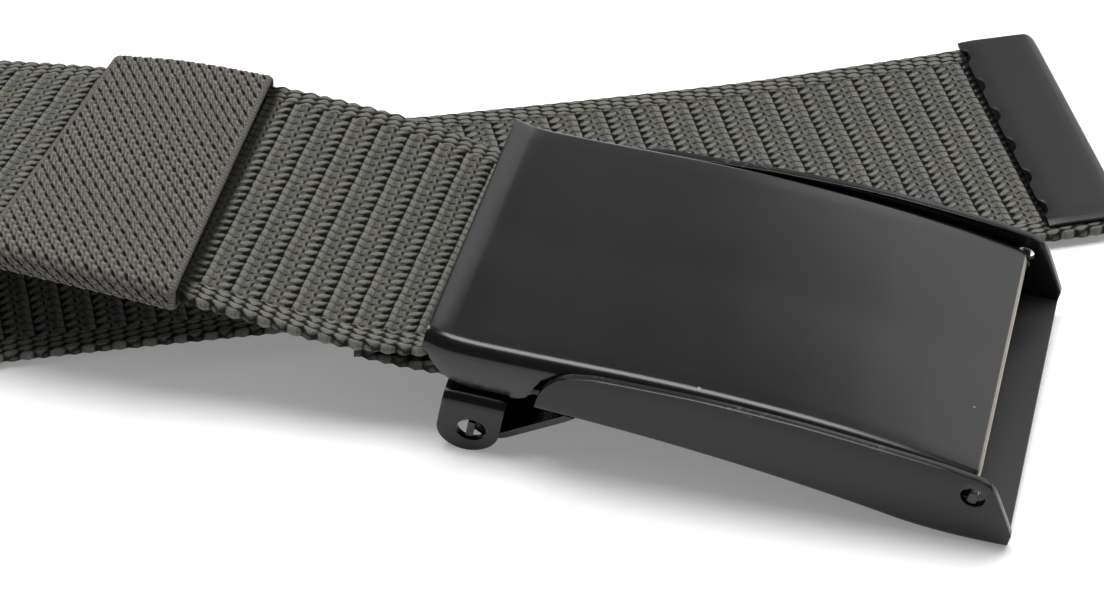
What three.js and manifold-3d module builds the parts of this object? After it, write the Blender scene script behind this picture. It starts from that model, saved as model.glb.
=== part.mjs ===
// Tactical belt, unfastened: ribbed webbing strap lying in one open loop, a flip
// buckle of pressed sheet on its fixed end, an elastic keeper and a crimped tip.
// Millimetres, +Z up, the belt lies on z = 0.
//
// The buckle is drawn in its own frame: u runs along it (0 at the right end of the
// tray, negative toward the strap), v across it and w up from the tray bottom. The
// whole buckle is bowed lengthways, which CROWN adds to w.
import * as THREE from 'three';
import { mergeVertices } from 'three/addons/utils/BufferGeometryUtils.js';
import Module from 'manifold-3d';

const wasm = await Module();
wasm.setup();

// ---------------------------------------------------------------- driving sizes
const GAP = 0.3;                 // clearance between neighbouring pieces
const ORIGIN = [-199.19, 21.8, 0]; // centre of the belt's footprint in layout coordinates

const STRAP_W = 38;              // 1.5 inch webbing
const STRAP_T = 1.7;
const MOUTH_HALF = 17.0;         // half width where the strap is drawn into the buckle
const TAIL_HALF = 18.5;          // half width of the folded-under end
const TAIL_OUT = 12.5;           // how far the folded-under end shows outside the buckle

const SHEET = 0.9;
const CROWN = 1.65 / 900;        // w drop per mm^2 away from CROWN_U
const CROWN_U = -37;
const TRAY_HALF = 21.1;          // outer half width of the tray walls
const WALL_T = 0.9;
const TRAY_LEFT = -59.0;
const BEND_R = 1.5;              // outer radius where the walls leave the bottom plate
const COVER_HALF = 19.85;
const COVER_RIGHT = -5.7;
const COVER_ROLL = 2.0;
const FLANGE_LOW = 0.15;         // lower edge of the deep part of the flange
const PIVOT = [-6.0, 9.1];       // u, w of the cover's pivot
const PIVOT_R = 1.0;
const PIVOT_HOLE_R = 1.4;
const PLATE_LEFT = -70.2;
const LEFT_DROP = 1.7;           // the strap end of the plate is set down by this
const EAR = { u0: -70.2, u1: -62.4, low: -10.2, t: 0.9, holeU: -66.0, holeW: -6.3, holeR: 1.65 };
const LEVER_HALF = 19.9;
const LEVER_T = 1.0;
const BAR = { u: -32, w: 4.4, r: 1.0 };

// placement of the buckle frame in the layout
const BUCKLE_AT = [59.43, -23.63, 1.03];
const BUCKLE_HEAD = -14.21;      // degrees about z
const BUCKLE_TILT = 10.08;       // right end down
const BUCKLE_ROLL = 2.8;         // far side up, its ear stands on the strap below

const KEEPER = { s0: 35.1, s1: 58.7, wall: 1.1 };
const TIP = { t0: 0, t1: 11.1, near: -19.5, far: 20.0, sheet: 0.6, high: 3.5, skew: -0.037 };
const TIP_NOTCHES = [17, 10.6, 4.2, -2.2, -8.7, -15.1];

// course of the strap from the buckle mouth to where it lies flat under itself:
// distance along the strap (mm), bend and twist there (radians per metre)
const COURSE = [
  [0.0, 6.882, -4.921], [18.0, 2.416, 0.075], [36.0, -9.763, 3.571],
  [54.0, 1.266, 5.066], [72.0, -2.209, 6.053], [90.0, -2.209, 5.749],
  [142.0, 2.256, 3.879], [194.0, 1.406, 3.145], [246.1, 0.524, 4.239],
  [298.1, -0.547, 5.090], [350.1, -3.461, 4.299], [402.1, -8.213, 2.173],
  [454.1, -12.921, 0.283], [506.2, -15.359, -0.064], [558.2, -14.327, 0.006],
  [610.2, -10.290, -1.466], [662.2, -5.154, -3.974], [714.3, -1.244, -5.659],
  [766.3, 0.303, -5.511], [818.3, 0.342, -4.078], [870.3, 0.015, -3.086],
  [922.3, -0.202, -2.848], [974.4, 0.284, -2.805], [1026.4, 1.815, -2.063],
].map(([s, bend, twist]) => ({ s, bend, twist }));
const COURSE_START = {
  P: [-7.325, -6.741, 13.479], T: [-0.96691, 0.25030, 0.04939], W: [0.25236, 0.96675, 0.04121],
};
const FLAT_RUN = 86.2;           // straight flat run after the table, up into the tip
const STRAP_IN_TIP = 8.95;       // length of strap held between the tip's two leaves
const TIP_LIFT = 0.9;            // rise of the strap into the crimped tip

// ---------------------------------------------------------------- small helpers
const V3 = (x, y, z) => new THREE.Vector3(x, y, z);
const lerpTable = (rows, key, val, x) => {
  if (x <= rows[0][key]) return rows[0][val];
  for (let i = 1; i < rows.length; i++) {
    if (x <= rows[i][key]) {
      const a = rows[i - 1], b = rows[i], f = (x - a[key]) / (b[key] - a[key]);
      return a[val] + (b[val] - a[val]) * f;
    }
  }
  return rows[rows.length - 1][val];
};
const smooth = (x) => { const t = Math.min(1, Math.max(0, x)); return t * t * (3 - 2 * t); };
const range = (a, b, step) => {
  const n = Math.max(1, Math.round(Math.abs(b - a) / step));
  return Array.from({ length: n + 1 }, (_, i) => a + ((b - a) * i) / n);
};

function indexed(positions, tris) {
  const g = new THREE.BufferGeometry();
  g.setAttribute('position', new THREE.Float32BufferAttribute(positions.flat(), 3));
  g.setIndex(tris.flat());
  return g;
}

// solid through a list of closed rings with equal counts; rings run counter-clockwise
// seen against the direction of travel when outward is left to right
function loft(rings, closed = false) {
  const n = rings[0].length, pos = rings.flat(), tris = [];
  const m = rings.length;
  for (let k = 0; k < (closed ? m : m - 1); k++) {
    const a = k * n, b = ((k + 1) % m) * n;
    for (let i = 0; i < n; i++) {
      const j = (i + 1) % n;
      tris.push([a + i, a + j, b + j], [a + i, b + j, b + i]);
    }
  }
  if (!closed) {
    const flat = (ring) => {
      const c = ring.map((p) => V3(...p));
      const o = c[0];
      let nrm = V3(0, 0, 0);
      for (let i = 0; i < n; i++) {
        const p = c[i], q = c[(i + 1) % n];
        nrm.add(V3((p.y - q.y) * (p.z + q.z), (p.z - q.z) * (p.x + q.x), (p.x - q.x) * (p.y + q.y)));
      }
      nrm.normalize();
      const ref = Math.abs(nrm.z) < 0.9 ? V3(0, 0, 1) : V3(1, 0, 0);
      const e1 = ref.clone().cross(nrm).normalize(), e2 = nrm.clone().cross(e1);
      return c.map((p) => { const d = p.clone().sub(o); return new THREE.Vector2(d.dot(e1), d.dot(e2)); });
    };
    for (const f of THREE.ShapeUtils.triangulateShape(flat(rings[0]), [])) tris.push([f[2], f[1], f[0]]);
    const o = (m - 1) * n;
    for (const f of THREE.ShapeUtils.triangulateShape(flat(rings[m - 1]), [])) tris.push([o + f[0], o + f[1], o + f[2]]);
  }
  const g = indexed(pos, tris);
  return signedVolume(g) < 0 ? flip(g) : g;
}

function signedVolume(g) {
  const p = g.attributes.position, ix = g.index.array;
  let v = 0;
  const a = V3(0, 0, 0), b = V3(0, 0, 0), c = V3(0, 0, 0);
  for (let i = 0; i < ix.length; i += 3) {
    a.fromBufferAttribute(p, ix[i]); b.fromBufferAttribute(p, ix[i + 1]); c.fromBufferAttribute(p, ix[i + 2]);
    v += a.dot(b.clone().cross(c)) / 6;
  }
  return v;
}
function flip(g) {
  const ix = Array.from(g.index.array);
  for (let i = 0; i < ix.length; i += 3) [ix[i], ix[i + 2]] = [ix[i + 2], ix[i]];
  g.setIndex(ix);
  return g;
}

// polygon in the (u, w) plane, holes as more polygons, thickness along v
function prism(outline, v0, v1, holes = []) {
  const shape = new THREE.Shape(outline.map(([x, y]) => new THREE.Vector2(x, y)));
  for (const h of holes) shape.holes.push(new THREE.Path(h.map(([x, y]) => new THREE.Vector2(x, y))));
  const g = new THREE.ExtrudeGeometry(shape, { depth: v1 - v0, bevelEnabled: false });
  g.rotateX(Math.PI / 2);          // (x, y, z) -> (x, -z, y)
  g.translate(0, v1, 0);
  return weld(g);
}
// polygon in the (x, y) plane, thickness along z
function slab(outline, z0, z1) {
  const shape = new THREE.Shape(outline.map(([x, y]) => new THREE.Vector2(x, y)));
  const g = new THREE.ExtrudeGeometry(shape, { depth: z1 - z0, bevelEnabled: false });
  g.translate(0, 0, z0);
  return weld(g);
}
function box(x0, x1, y0, y1, z0, z1) {
  const g = new THREE.BoxGeometry(x1 - x0, y1 - y0, z1 - z0);
  g.translate((x0 + x1) / 2, (y0 + y1) / 2, (z0 + z1) / 2);
  return weld(g);
}
function disc(u, w, r, v0, v1, seg = 20) {
  const pts = Array.from({ length: seg }, (_, i) => {
    const a = (2 * Math.PI * i) / seg;
    return [u + r * Math.cos(a), w + r * Math.sin(a)];
  });
  return prism(pts, v0, v1);
}
function weld(g) {
  const c = g.clone();
  for (const name of Object.keys(c.attributes)) if (name !== 'position') c.deleteAttribute(name);
  return mergeVertices(c.index ? c : c, 1e-4);
}
function solid(g) {
  const w = weld(g);
  if (signedVolume(w) < 0) flip(w);
  return new wasm.Manifold(new wasm.Mesh({
    numProp: 3,
    vertProperties: new Float32Array(w.attributes.position.array),
    triVerts: new Uint32Array(w.index.array),
  }));
}
function geometry(m) {
  const mesh = m.getMesh(), g = new THREE.BufferGeometry(), n = mesh.numProp, src = mesh.vertProperties;
  const pos = new Float32Array((src.length / n) * 3);
  for (let i = 0; i < src.length / n; i++) for (let k = 0; k < 3; k++) pos[i * 3 + k] = src[i * n + k];
  g.setAttribute('position', new THREE.BufferAttribute(pos, 3));
  g.setIndex(Array.from(mesh.triVerts));
  return g;
}
const join = (...gs) => gs.map(solid).reduce((a, b) => a.add(b));
const cut = (m, ...gs) => gs.map(solid).reduce((a, b) => a.subtract(b), m);

// strip of constant thickness along a list of (u, w) points, offset to both sides
function strip(path, t) {
  const up = [], dn = [];
  path.forEach(([u, w], i) => {
    const a = path[Math.max(0, i - 1)], b = path[Math.min(path.length - 1, i + 1)];
    const l = Math.hypot(b[0] - a[0], b[1] - a[1]), nx = -(b[1] - a[1]) / l, ny = (b[0] - a[0]) / l;
    up.push([u + (nx * t) / 2, w + (ny * t) / 2]);
    dn.push([u - (nx * t) / 2, w - (ny * t) / 2]);
  });
  return up.concat(dn.reverse());
}
const arc = (cx, cy, r, a0, a1, seg) => range(a0, a1, Math.abs(a1 - a0) / seg).map((a) => {
  const t = (a * Math.PI) / 180;
  return [cx + r * Math.cos(t), cy + r * Math.sin(t)];
});

// ---------------------------------------------------------------- buckle heights
const crown = (u) => -CROWN * (u - CROWN_U) ** 2;
const plateLow = (u) => {
  if (u < TRAY_LEFT) return -LEFT_DROP * (1 - smooth((u + 62.0) / 2.6));
  return 2.5 * (Math.max(0, u + 14) / 14) ** 1.8;
};
// upper face of the cover, lipped up at the strap end
const COVER_TOP = [
  [-74.0, 7.75], [-73.2, 7.45], [-72.2, 7.1], [-71.0, 6.85], [-69.5, 6.72], [-67, 6.7], [-62, 6.85], [-57, 7.15],
  [-50, 7.75], [-40, 8.6], [-30, 9.35], [-22, 9.9], [-14, 10.3], [-5.7, 10.5],
].map(([u, w]) => ({ u, w }));
const coverTop = (u) => lerpTable(COVER_TOP, 'u', 'w', u);
// upper edge of the tray walls: rounded at the strap end, clipped at the right end
const WALL_TOP = [
  [-59.0, 1.7], [-58.85, 2.9], [-58.5, 4.2], [-57.9, 5.4], [-57.0, 6.55], [-55.6, 7.4], [-53.0, 8.1],
  [-48, 8.65], [-40, 9.6], [-28, 10.6], [-18, 11.3], [-10, 12.0], [-5.6, 12.15], [-4.5, 11.8],
  [-3.7, 11.1], [-3.0, 10.1], [-1.5, 7.6], [0, 5.0],
].map(([u, w]) => ({ u, w }));
// lower edge of the cover's flange: rounded, deep, then stepped up over the wall end
const FLANGE = [
  [-74.0, 6.6], [-73.66, 6.0], [-73.2, 4.9], [-72.76, 3.9], [-72.2, 3.0], [-71.0, 1.5], [-69.5, 0.6], [-67.6, FLANGE_LOW],
  [-61.2, FLANGE_LOW], [-60.4, 0.6], [-59.9, 1.7], [-59.6, 3.0], [-59.1, 4.2], [-58.3, 4.75], [-57.0, 4.95],
].map(([u, w]) => ({ u, w }));
const flangeLow = (u) => Math.min(lerpTable(FLANGE, 'u', 'w', u) + (u > -57 ? coverTop(u) - coverTop(-57) : 0),
  coverTop(u) - SHEET);

function bow(g) {
  const p = g.attributes.position;
  for (let i = 0; i < p.count; i++) p.setZ(i, p.getZ(i) + crown(p.getX(i)));
  p.needsUpdate = true;
  return g;
}

// ---------------------------------------------------------------- cover
function coverGeometry() {
  const us = [...new Set([
    ...FLANGE.map((r) => r.u), ...COVER_TOP.map((r) => r.u), -64, -53.5, -46.5, -43, -36.5, -33, -26, -18, -10, -8,
  ].map((u) => Math.round(u * 100) / 100))].sort((a, b) => a - b);
  const ro = COVER_ROLL, ri = COVER_ROLL - SHEET, h = COVER_HALF;
  const rings = us.map((u) => {
    const t = coverTop(u), f = Math.min(flangeLow(u), t - ro);
    const ring = [];
    const q = (side, r, a) => [u, side * (h - ro) + side * r * Math.cos(a), t - ro + r * Math.sin(a)];
    ring.push([u, -h, f]);
    for (let i = 0; i <= 5; i++) ring.push(q(-1, ro, (i * Math.PI) / 10));
    for (let i = 5; i >= 0; i--) ring.push(q(1, ro, (i * Math.PI) / 10));
    ring.push([u, h, f], [u, h - SHEET, f]);
    for (let i = 0; i <= 5; i++) ring.push(q(1, ri, (i * Math.PI) / 10));
    for (let i = 5; i >= 0; i--) ring.push(q(-1, ri, (i * Math.PI) / 10));
    ring.push([u, -h + SHEET, f]);
    if (Math.abs(f - (t - ro)) < 0.05) { ring[0][2] -= 0.05; ring[13][2] -= 0.05; ring[14][2] -= 0.05; ring[27][2] -= 0.05; }
    return ring;
  });
  const [pu, pw] = PIVOT;
  const parts = [loft(rings)];
  for (const s of [-1, 1]) {
    const a = s < 0 ? -COVER_HALF : COVER_HALF - SHEET, b = a + SHEET;
    parts.push(prism([[pu - 5.0, pw], [pu - 3.4, pw - 1.2], [pu - 1.6, pw - 1.8], [pu, pw - 1.9],
      [pu + 1.2, pw - 1.4], [pu + 1.7, pw - 0.4], [pu + 1.5, pw + 0.6], [pu + 0.3, pw + 0.9], [pu - 2.5, pw + 0.9]], a, b));
    parts.push(s < 0 ? disc(pu, pw, PIVOT_R, -21.0, -19.2) : disc(pu, pw, PIVOT_R, 19.2, 21.0));
  }
  return bow(geometry(join(...parts)));
}

// ---------------------------------------------------------------- base frame
function baseGeometry() {
  const us = [...new Set([...WALL_TOP.map((r) => r.u), ...range(-53, -14, 3.9), -12, -8, -6.5]
    .map((u) => Math.round(u * 100) / 100))].sort((a, b) => a - b);
  const o = TRAY_HALF, i = TRAY_HALF - WALL_T, R = BEND_R, r = BEND_R - WALL_T;
  const rings = us.map((u) => {
    const b = plateLow(u), t = Math.max(lerpTable(WALL_TOP, 'u', 'w', u), b + R + 0.1), ring = [];
    const oo = (s, k) => { const a = (k * Math.PI) / 6; return [u, s * (o - R + R * Math.cos(a)), b + R - R * Math.sin(a)]; };
    const ii = (s, k) => { const a = (k * Math.PI) / 4; return [u, s * (i - r + r * Math.cos(a)), b + SHEET + r - r * Math.sin(a)]; };
    ring.push([u, -o, t]);
    for (let k = 0; k <= 3; k++) ring.push(oo(-1, k));
    for (let k = 3; k >= 0; k--) ring.push(oo(1, k));
    ring.push([u, o, t], [u, i, t]);
    for (let k = 0; k <= 2; k++) ring.push(ii(1, k));
    for (let k = 2; k >= 0; k--) ring.push(ii(-1, k));
    ring.push([u, -i, t]);
    return ring;
  });
  // strap end of the plate: wide at the ears, relieved between ear and wall
  const plate = (half, u0, u1) => {
    const up = range(u0, u1, 0.65).map((u) => [u, plateLow(u) + SHEET]);
    const dn = range(u1, u0, 0.65).map((u) => [u, plateLow(u)]);
    return prism(up.concat(dn), -half, half);
  };
  const parts = [loft(rings), plate(18.5, PLATE_LEFT, TRAY_LEFT + 0.4),
    plate(TRAY_HALF - BEND_R + 0.02, EAR.u0, EAR.u1)];
  const top = -LEFT_DROP + SHEET, side = [];
  const er = (EAR.u1 - EAR.u0) / 2, ec = (EAR.u0 + EAR.u1) / 2;
  for (const s of [-1, 1]) {
    const v1 = s * TRAY_HALF, v0 = s * (TRAY_HALF - EAR.t);
    const body = [[EAR.u0, top - BEND_R], ...arc(ec, EAR.low + er, er, 180, 360, 12), [EAR.u1, top - BEND_R]];
    side.push(prism(body, Math.min(v0, v1), Math.max(v0, v1)));
    // bend from plate to ear
    const bend = (u) => {
      const ring = [];
      for (let k = 0; k <= 5; k++) { const a = (k * Math.PI) / 10; ring.push([u, s * (TRAY_HALF - BEND_R + BEND_R * Math.sin(a)), top - BEND_R + BEND_R * Math.cos(a)]); }
      const q = BEND_R - EAR.t;
      for (let k = 5; k >= 0; k--) { const a = (k * Math.PI) / 10; ring.push([u, s * (TRAY_HALF - BEND_R + q * Math.sin(a)), top - BEND_R + q * Math.cos(a)]); }
      return ring;
    };
    side.push(loft([bend(EAR.u0), bend(ec), bend(EAR.u1)]));
  }
  const cuts = [];
  for (const s of [-1, 1]) {
    cuts.push(disc(PIVOT[0], PIVOT[1], PIVOT_HOLE_R, s < 0 ? -22 : 19.5, s < 0 ? -19.5 : 22, 22));
    cuts.push(disc(EAR.holeU, EAR.holeW, EAR.holeR, s < 0 ? -22 : 19.5, s < 0 ? -19.5 : 22, 22));
  }
  cuts.push(box(-56.2, -50.6, -16.5, 16.5, -1.2, 3));
  return bow(geometry(cut(join(...parts, ...side), ...cuts)));
}

// ---------------------------------------------------------------- clamp lever
function leverGeometry() {
  const path = [
    [EAR.holeU, -2.4], [EAR.holeU, -3.8], [EAR.holeU, -5.15],
    ...arc(EAR.holeU + 2.6, -5.15, 2.6, 180, 310.6, 8).slice(1), [-58.9, -4.72], [-55.4, -1.7],
    ...arc(-55.5, 0.35, 1.5, -50, -8, 4), [-54.0, 0.85],
  ];
  const g = solid(prism(strip(path, LEVER_T), -LEVER_HALF, LEVER_HALF));
  const tenon = (a, b) => box(EAR.holeU - 0.45, EAR.holeU + 0.45, a, b, EAR.holeW - 1.25, EAR.holeW + 1.25);
  let m = g.add(solid(tenon(-21.0, -LEVER_HALF + 0.5))).add(solid(tenon(LEVER_HALF - 0.5, 21.0)));
  // only the toothed middle reaches up into the window of the plate
  const trims = [box(-57.5, -52, -21, -15.8, -0.95, 2), box(-57.5, -52, 15.8, 21, -0.95, 2)];
  for (let k = -3; k <= 3; k++) trims.push(box(-57, -52, k * 4.4 - 0.8, k * 4.4 + 0.8, 0.2, 2));
  m = cut(m, ...trims);
  return bow(geometry(m));
}

const barGeometry = () => bow(disc(BAR.u, BAR.w, BAR.r, -19.9, 19.9, 16));

// ---------------------------------------------------------------- strap
// frames along the open course: position, direction, width direction, face normal
function courseFrames() {
  const { P, T, W } = COURSE_START;
  const p = V3(...P), t = V3(...T).normalize(), w = V3(...W).normalize();
  const n = w.clone().cross(t).normalize();
  const end = COURSE[COURSE.length - 1].s;
  const stations = [...range(0, 24, 6), ...range(24, 72, 4).slice(1), ...range(72, end, 8).slice(1)];
  const out = [{ s: 0, p: p.clone(), t: t.clone(), w: w.clone(), n: n.clone() }];
  for (let i = 1; i < stations.length; i++) {
    const a = stations[i - 1], hs = (stations[i] - a) / 3;
    for (let j = 0; j < 3; j++) {
      const s = a + (j + 0.5) * hs;
      const k = lerpTable(COURSE, 's', 'bend', s) / 1000, tw = lerpTable(COURSE, 's', 'twist', s) / 1000;
      const om = w.clone().multiplyScalar(k).addScaledVector(t, tw), q = om.length() * hs;
      om.normalize();
      p.addScaledVector(t.clone().applyAxisAngle(om, q / 2), hs);
      t.applyAxisAngle(om, q); w.applyAxisAngle(om, q); n.applyAxisAngle(om, q);
    }
    out.push({ s: stations[i], p: p.clone(), t: t.clone(), w: w.clone(), n: n.clone() });
  }
  return out;
}
const COURSE_FRAMES = courseFrames();
function frameAt(s) {
  const j = Math.max(1, COURSE_FRAMES.findIndex((q) => q.s >= s)), a = COURSE_FRAMES[j - 1], b = COURSE_FRAMES[j];
  const f = (s - a.s) / (b.s - a.s), mix = (k) => a[k].clone().lerp(b[k], f);
  return { p: mix('p'), w: mix('w').normalize(), n: mix('n').normalize() };
}

function layoutFrames() {
  const frames = COURSE_FRAMES.map((f) => ({ ...f, p: f.p.clone(), half: STRAP_W / 2 - (STRAP_W / 2 - MOUTH_HALF) * Math.max(0, 1 - f.s / 14) }));
  const last = frames[frames.length - 1], dir = last.t.clone().setZ(0).normalize();
  const wd = V3(dir.y, -dir.x, 0), up = V3(0, 0, 1);
  for (const x of range(8, FLAT_RUN, 8)) {
    const p = last.p.clone().addScaledVector(dir, x);
    p.z = STRAP_T / 2 + TIP_LIFT * smooth((x - (FLAT_RUN - 45)) / 33);
    frames.push({ s: last.s + x, p, t: dir.clone(), w: wd.clone(), n: up.clone(), half: STRAP_W / 2 });
  }
  // the free end's run drifts a little away from the viewer before the crossing
  const end = frames[frames.length - 1].s;
  for (const f of frames) {
    const k = end - f.s;
    f.p.addScaledVector(f.w, -3.9 * smooth(k / 150) ** 1.55 * smooth((300 - k) / 120));
  }
  // nothing dips under the table
  for (const f of frames) {
    let low = Infinity;
    for (const a of [-1, 1]) for (const b of [-1, 1]) low = Math.min(low, f.p.z + a * f.half * f.w.z + (b * STRAP_T * f.n.z) / 2);
    if (low < 0) f.p.z -= low;
  }
  return frames;
}

function buckleMatrix() {
  const h = (BUCKLE_HEAD * Math.PI) / 180, t = (BUCKLE_TILT * Math.PI) / 180;
  const U = V3(Math.cos(h) * Math.cos(t), Math.sin(h) * Math.cos(t), -Math.sin(t));
  const r = (BUCKLE_ROLL * Math.PI) / 180, V0 = V3(-Math.sin(h), Math.cos(h), 0), W0 = U.clone().cross(V0);
  const V = V0.multiplyScalar(Math.cos(r)).addScaledVector(W0, Math.sin(r)), W = U.clone().cross(V);
  return new THREE.Matrix4().makeBasis(U, V, W).setPosition(...BUCKLE_AT);
}
const TO_LAYOUT = buckleMatrix();

// the fixed end: tail under the strap, over the plate, round the bar and back out
function foldedFrames() {
  const R = BAR.r + GAP + 0.05 + STRAP_T / 2, low = BAR.w - R, high = BAR.w + R;
  const tailLeft = -LEFT_DROP + SHEET + GAP + STRAP_T / 2;
  const out = [];
  // part outside the buckle follows the strap a thickness below it
  for (const s of [TAIL_OUT, 9, 6, 3]) {
    const { p, w, n } = frameAt(s);
    out.push({ p: p.addScaledVector(n, -(STRAP_T + GAP)), w, n, half: TAIL_HALF });
  }
  const inside = [];
  const knots = [[-69.4, tailLeft], [-65.2, tailLeft], [-62.8, tailLeft + 0.4], [-61.0, tailLeft + 1.45], [-59.1, low], [-56, low], [-50, low], [-44, low], [-38, low], [-34.5, low], [BAR.u, low]];
  knots.forEach(([u, w], i) => inside.push([u, w, TAIL_HALF - (TAIL_HALF - MOUTH_HALF) * smooth(i / 6)]));
  for (const [u, w] of arc(BAR.u, BAR.w, R, -90, 90, 10).slice(1)) inside.push([u, w, MOUTH_HALF]);
  for (const [u, w] of [[-35, high - 0.1], [-40, high - 0.75], [-46, high - 1.75], [-52, high - 2.8], [-58, high - 3.5], [-63, 2.75], [-67, 2.45]]) inside.push([u, w, MOUTH_HALF]);
  const pts = inside.map(([u, w]) => V3(u, 0, w + crown(u)).applyMatrix4(TO_LAYOUT));
  const W = V3(0, 1, 0).transformDirection(TO_LAYOUT);
  inside.forEach(([u, w, half], i) => {
    const a = i ? pts[i - 1] : out[out.length - 1].p, b = i < pts.length - 1 ? pts[i + 1] : COURSE_FRAMES[0].p;
    const t = b.clone().sub(a).normalize(), n = W.clone().cross(t).normalize();
    out.push({ p: pts[i], w: W.clone(), n, half });
  });
  // the tail part is traversed toward the bar, so its face normal points down
  out.slice(0, 4).forEach((f) => { f.n.negate(); });
  return out;
}

// One strap, in runs that meet face to face, so that each run is a simple shape.
const STRAP_RUNS = [
  ['webbing_strap', -Infinity, 90], ['webbing_strap_side', 90, 340], ['webbing_strap_bend', 340, 600],
  ['webbing_strap_return', 600, 860], ['webbing_strap_tail', 860, Infinity],
];
function strapRun(from, to) {
  const open = layoutFrames();
  const near = (s) => open.reduce((a, b, i) => (Math.abs(b.s - s) < Math.abs(open[a].s - s) ? i : a), 0);
  const i0 = from === -Infinity ? 0 : near(from), i1 = to === Infinity ? open.length - 1 : near(to);
  const run = open.slice(i0, i1 + 1);
  if (from !== -Infinity) run[0] = { ...run[0], p: run[0].p.clone().addScaledVector(run[0].t, GAP / 2) };
  const last = run[run.length - 1];
  if (to !== Infinity) run[run.length - 1] = { ...last, p: last.p.clone().addScaledVector(last.t, -GAP / 2) };
  return from === -Infinity ? [...foldedFrames(), ...run] : run;
}
function strapGeometry(from, to) {
  const frames = strapRun(from, to);
  const c = 0.45, t = STRAP_T / 2;
  const rings = frames.map(({ p, w, n, half }) => [
    [half, t - c], [half - c, t], [0, t], [-half + c, t], [-half, t - c], [-half, -t + c], [-half + c, -t], [0, -t], [half - c, -t], [half, -t + c],
  ].map(([a, b]) => p.clone().addScaledVector(w, a).addScaledVector(n, b).toArray()));
  return loft(rings);
}

// ---------------------------------------------------------------- keeper
function keeperGeometry() {
  const ring = (s, grow) => {
    const { p, w, n } = frameAt(s), a = STRAP_W / 2 + GAP + grow, b = STRAP_T / 2 + GAP + grow, r = Math.min(b - 0.02, 0.35 + grow), pts = [];
    for (const [sx, sy, a0] of [[1, 1, 0], [-1, 1, 90], [-1, -1, 180], [1, -1, 270]]) {
      for (let k = 0; k <= 4; k++) {
        const q = ((a0 + k * 22.5) * Math.PI) / 180;
        pts.push(p.clone().addScaledVector(w, sx * (a - r) + r * Math.cos(q)).addScaledVector(n, sy * (b - r) + r * Math.sin(q)).toArray());
      }
      if (sx === sy) pts.push(p.clone().addScaledVector(n, sy * b).toArray());
    }
    return pts;
  };
  const ss = range(KEEPER.s0, KEEPER.s1, 4);
  const rings = [...ss.map((s) => ring(s, KEEPER.wall)), ...ss.slice().reverse().map((s) => ring(s, 0))];
  return loft(rings, true);
}

// ---------------------------------------------------------------- strap tip
function tipFrame() {
  const f = layoutFrames(), last = f[f.length - 1], dir = last.t;
  return { dir, side: V3(-dir.y, dir.x, 0), p: last.p.clone().setZ(0) };
}
function tipGeometry() {
  const { t0, t1, near, far, sheet, high } = TIP, r = high / 2 - sheet / 2;
  const path = [[t0 + 0.8, sheet / 2], [t1 - 6, sheet / 2], ...arc(t1 - high / 2, high / 2, r, -90, 90, 8), [t1 - 6, high - sheet / 2], [t0, high - sheet / 2]];
  const u = solid(prism(strip(path, sheet), near, far));
  const c = 2.2, plan = slab([[t0 - 1, near - 1], ...[[t1 - 0.0, near + 0.02, -90], [t1, far - 0.02, 0]].flatMap(([x, y, a]) => arc(x - c, y + (a < 0 ? c : -c), c, a, a + 90, 6)), [t0 - 1, far + 1]], -1, high + 1);
  let m = u.intersect(solid(plan));
  m = cut(m, ...TIP_NOTCHES.map((y) => slab([[t0 - 0.5, y - 1.0], [t0 + 0.9, y - 0.75], [t0 + 1.3, y], [t0 + 0.9, y + 0.75], [t0 - 0.5, y + 1.0]], high - sheet - 0.5, high + 0.5)));
  const g = geometry(m), p = g.attributes.position;
  for (let i = 0; i < p.count; i++) p.setX(i, p.getX(i) + TIP.skew * p.getY(i));
  return g;
}

// ---------------------------------------------------------------- assembly
const metal = (hex, roughness) => new THREE.MeshStandardMaterial({ color: hex, roughness, metalness: 0.55 });
const cloth = (hex) => new THREE.MeshStandardMaterial({ color: hex, roughness: 0.95, metalness: 0 });

function named(name, g, material) {
  g.computeVertexNormals();
  const m = new THREE.Mesh(g, material);
  m.name = name;
  return m;
}

const belt = new THREE.Group();
const layout = new THREE.Group();
layout.position.set(-ORIGIN[0], -ORIGIN[1], -ORIGIN[2]);
belt.add(layout);

const buckle = new THREE.Group();
buckle.applyMatrix4(TO_LAYOUT);
layout.add(buckle);
buckle.add(named('cover', coverGeometry(), metal(0x3a3b3d, 0.38)));
buckle.add(named('base_frame', baseGeometry(), metal(0x343537, 0.42)));
buckle.add(named('clamp_lever', leverGeometry(), metal(0x3a3b3d, 0.45)));
buckle.add(named('strap_bar', barGeometry(), metal(0x2c2d2f, 0.45)));

for (const [name, from, to] of STRAP_RUNS) layout.add(named(name, strapGeometry(from, to), cloth(0x77766d)));
layout.add(named('elastic_keeper', keeperGeometry(), cloth(0x6f6863)));

const tipGroup = new THREE.Group(), tf = tipFrame();
tipGroup.applyMatrix4(new THREE.Matrix4().makeBasis(tf.dir, tf.side, V3(0, 0, 1))
  .setPosition(tf.p.clone().addScaledVector(tf.dir, -STRAP_IN_TIP)));
tipGroup.add(named('strap_tip', tipGeometry(), metal(0x38393b, 0.4)));
layout.add(tipGroup);

export default belt;
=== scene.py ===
import math
import bpy
import numpy as np
from mathutils import Matrix, Vector


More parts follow.
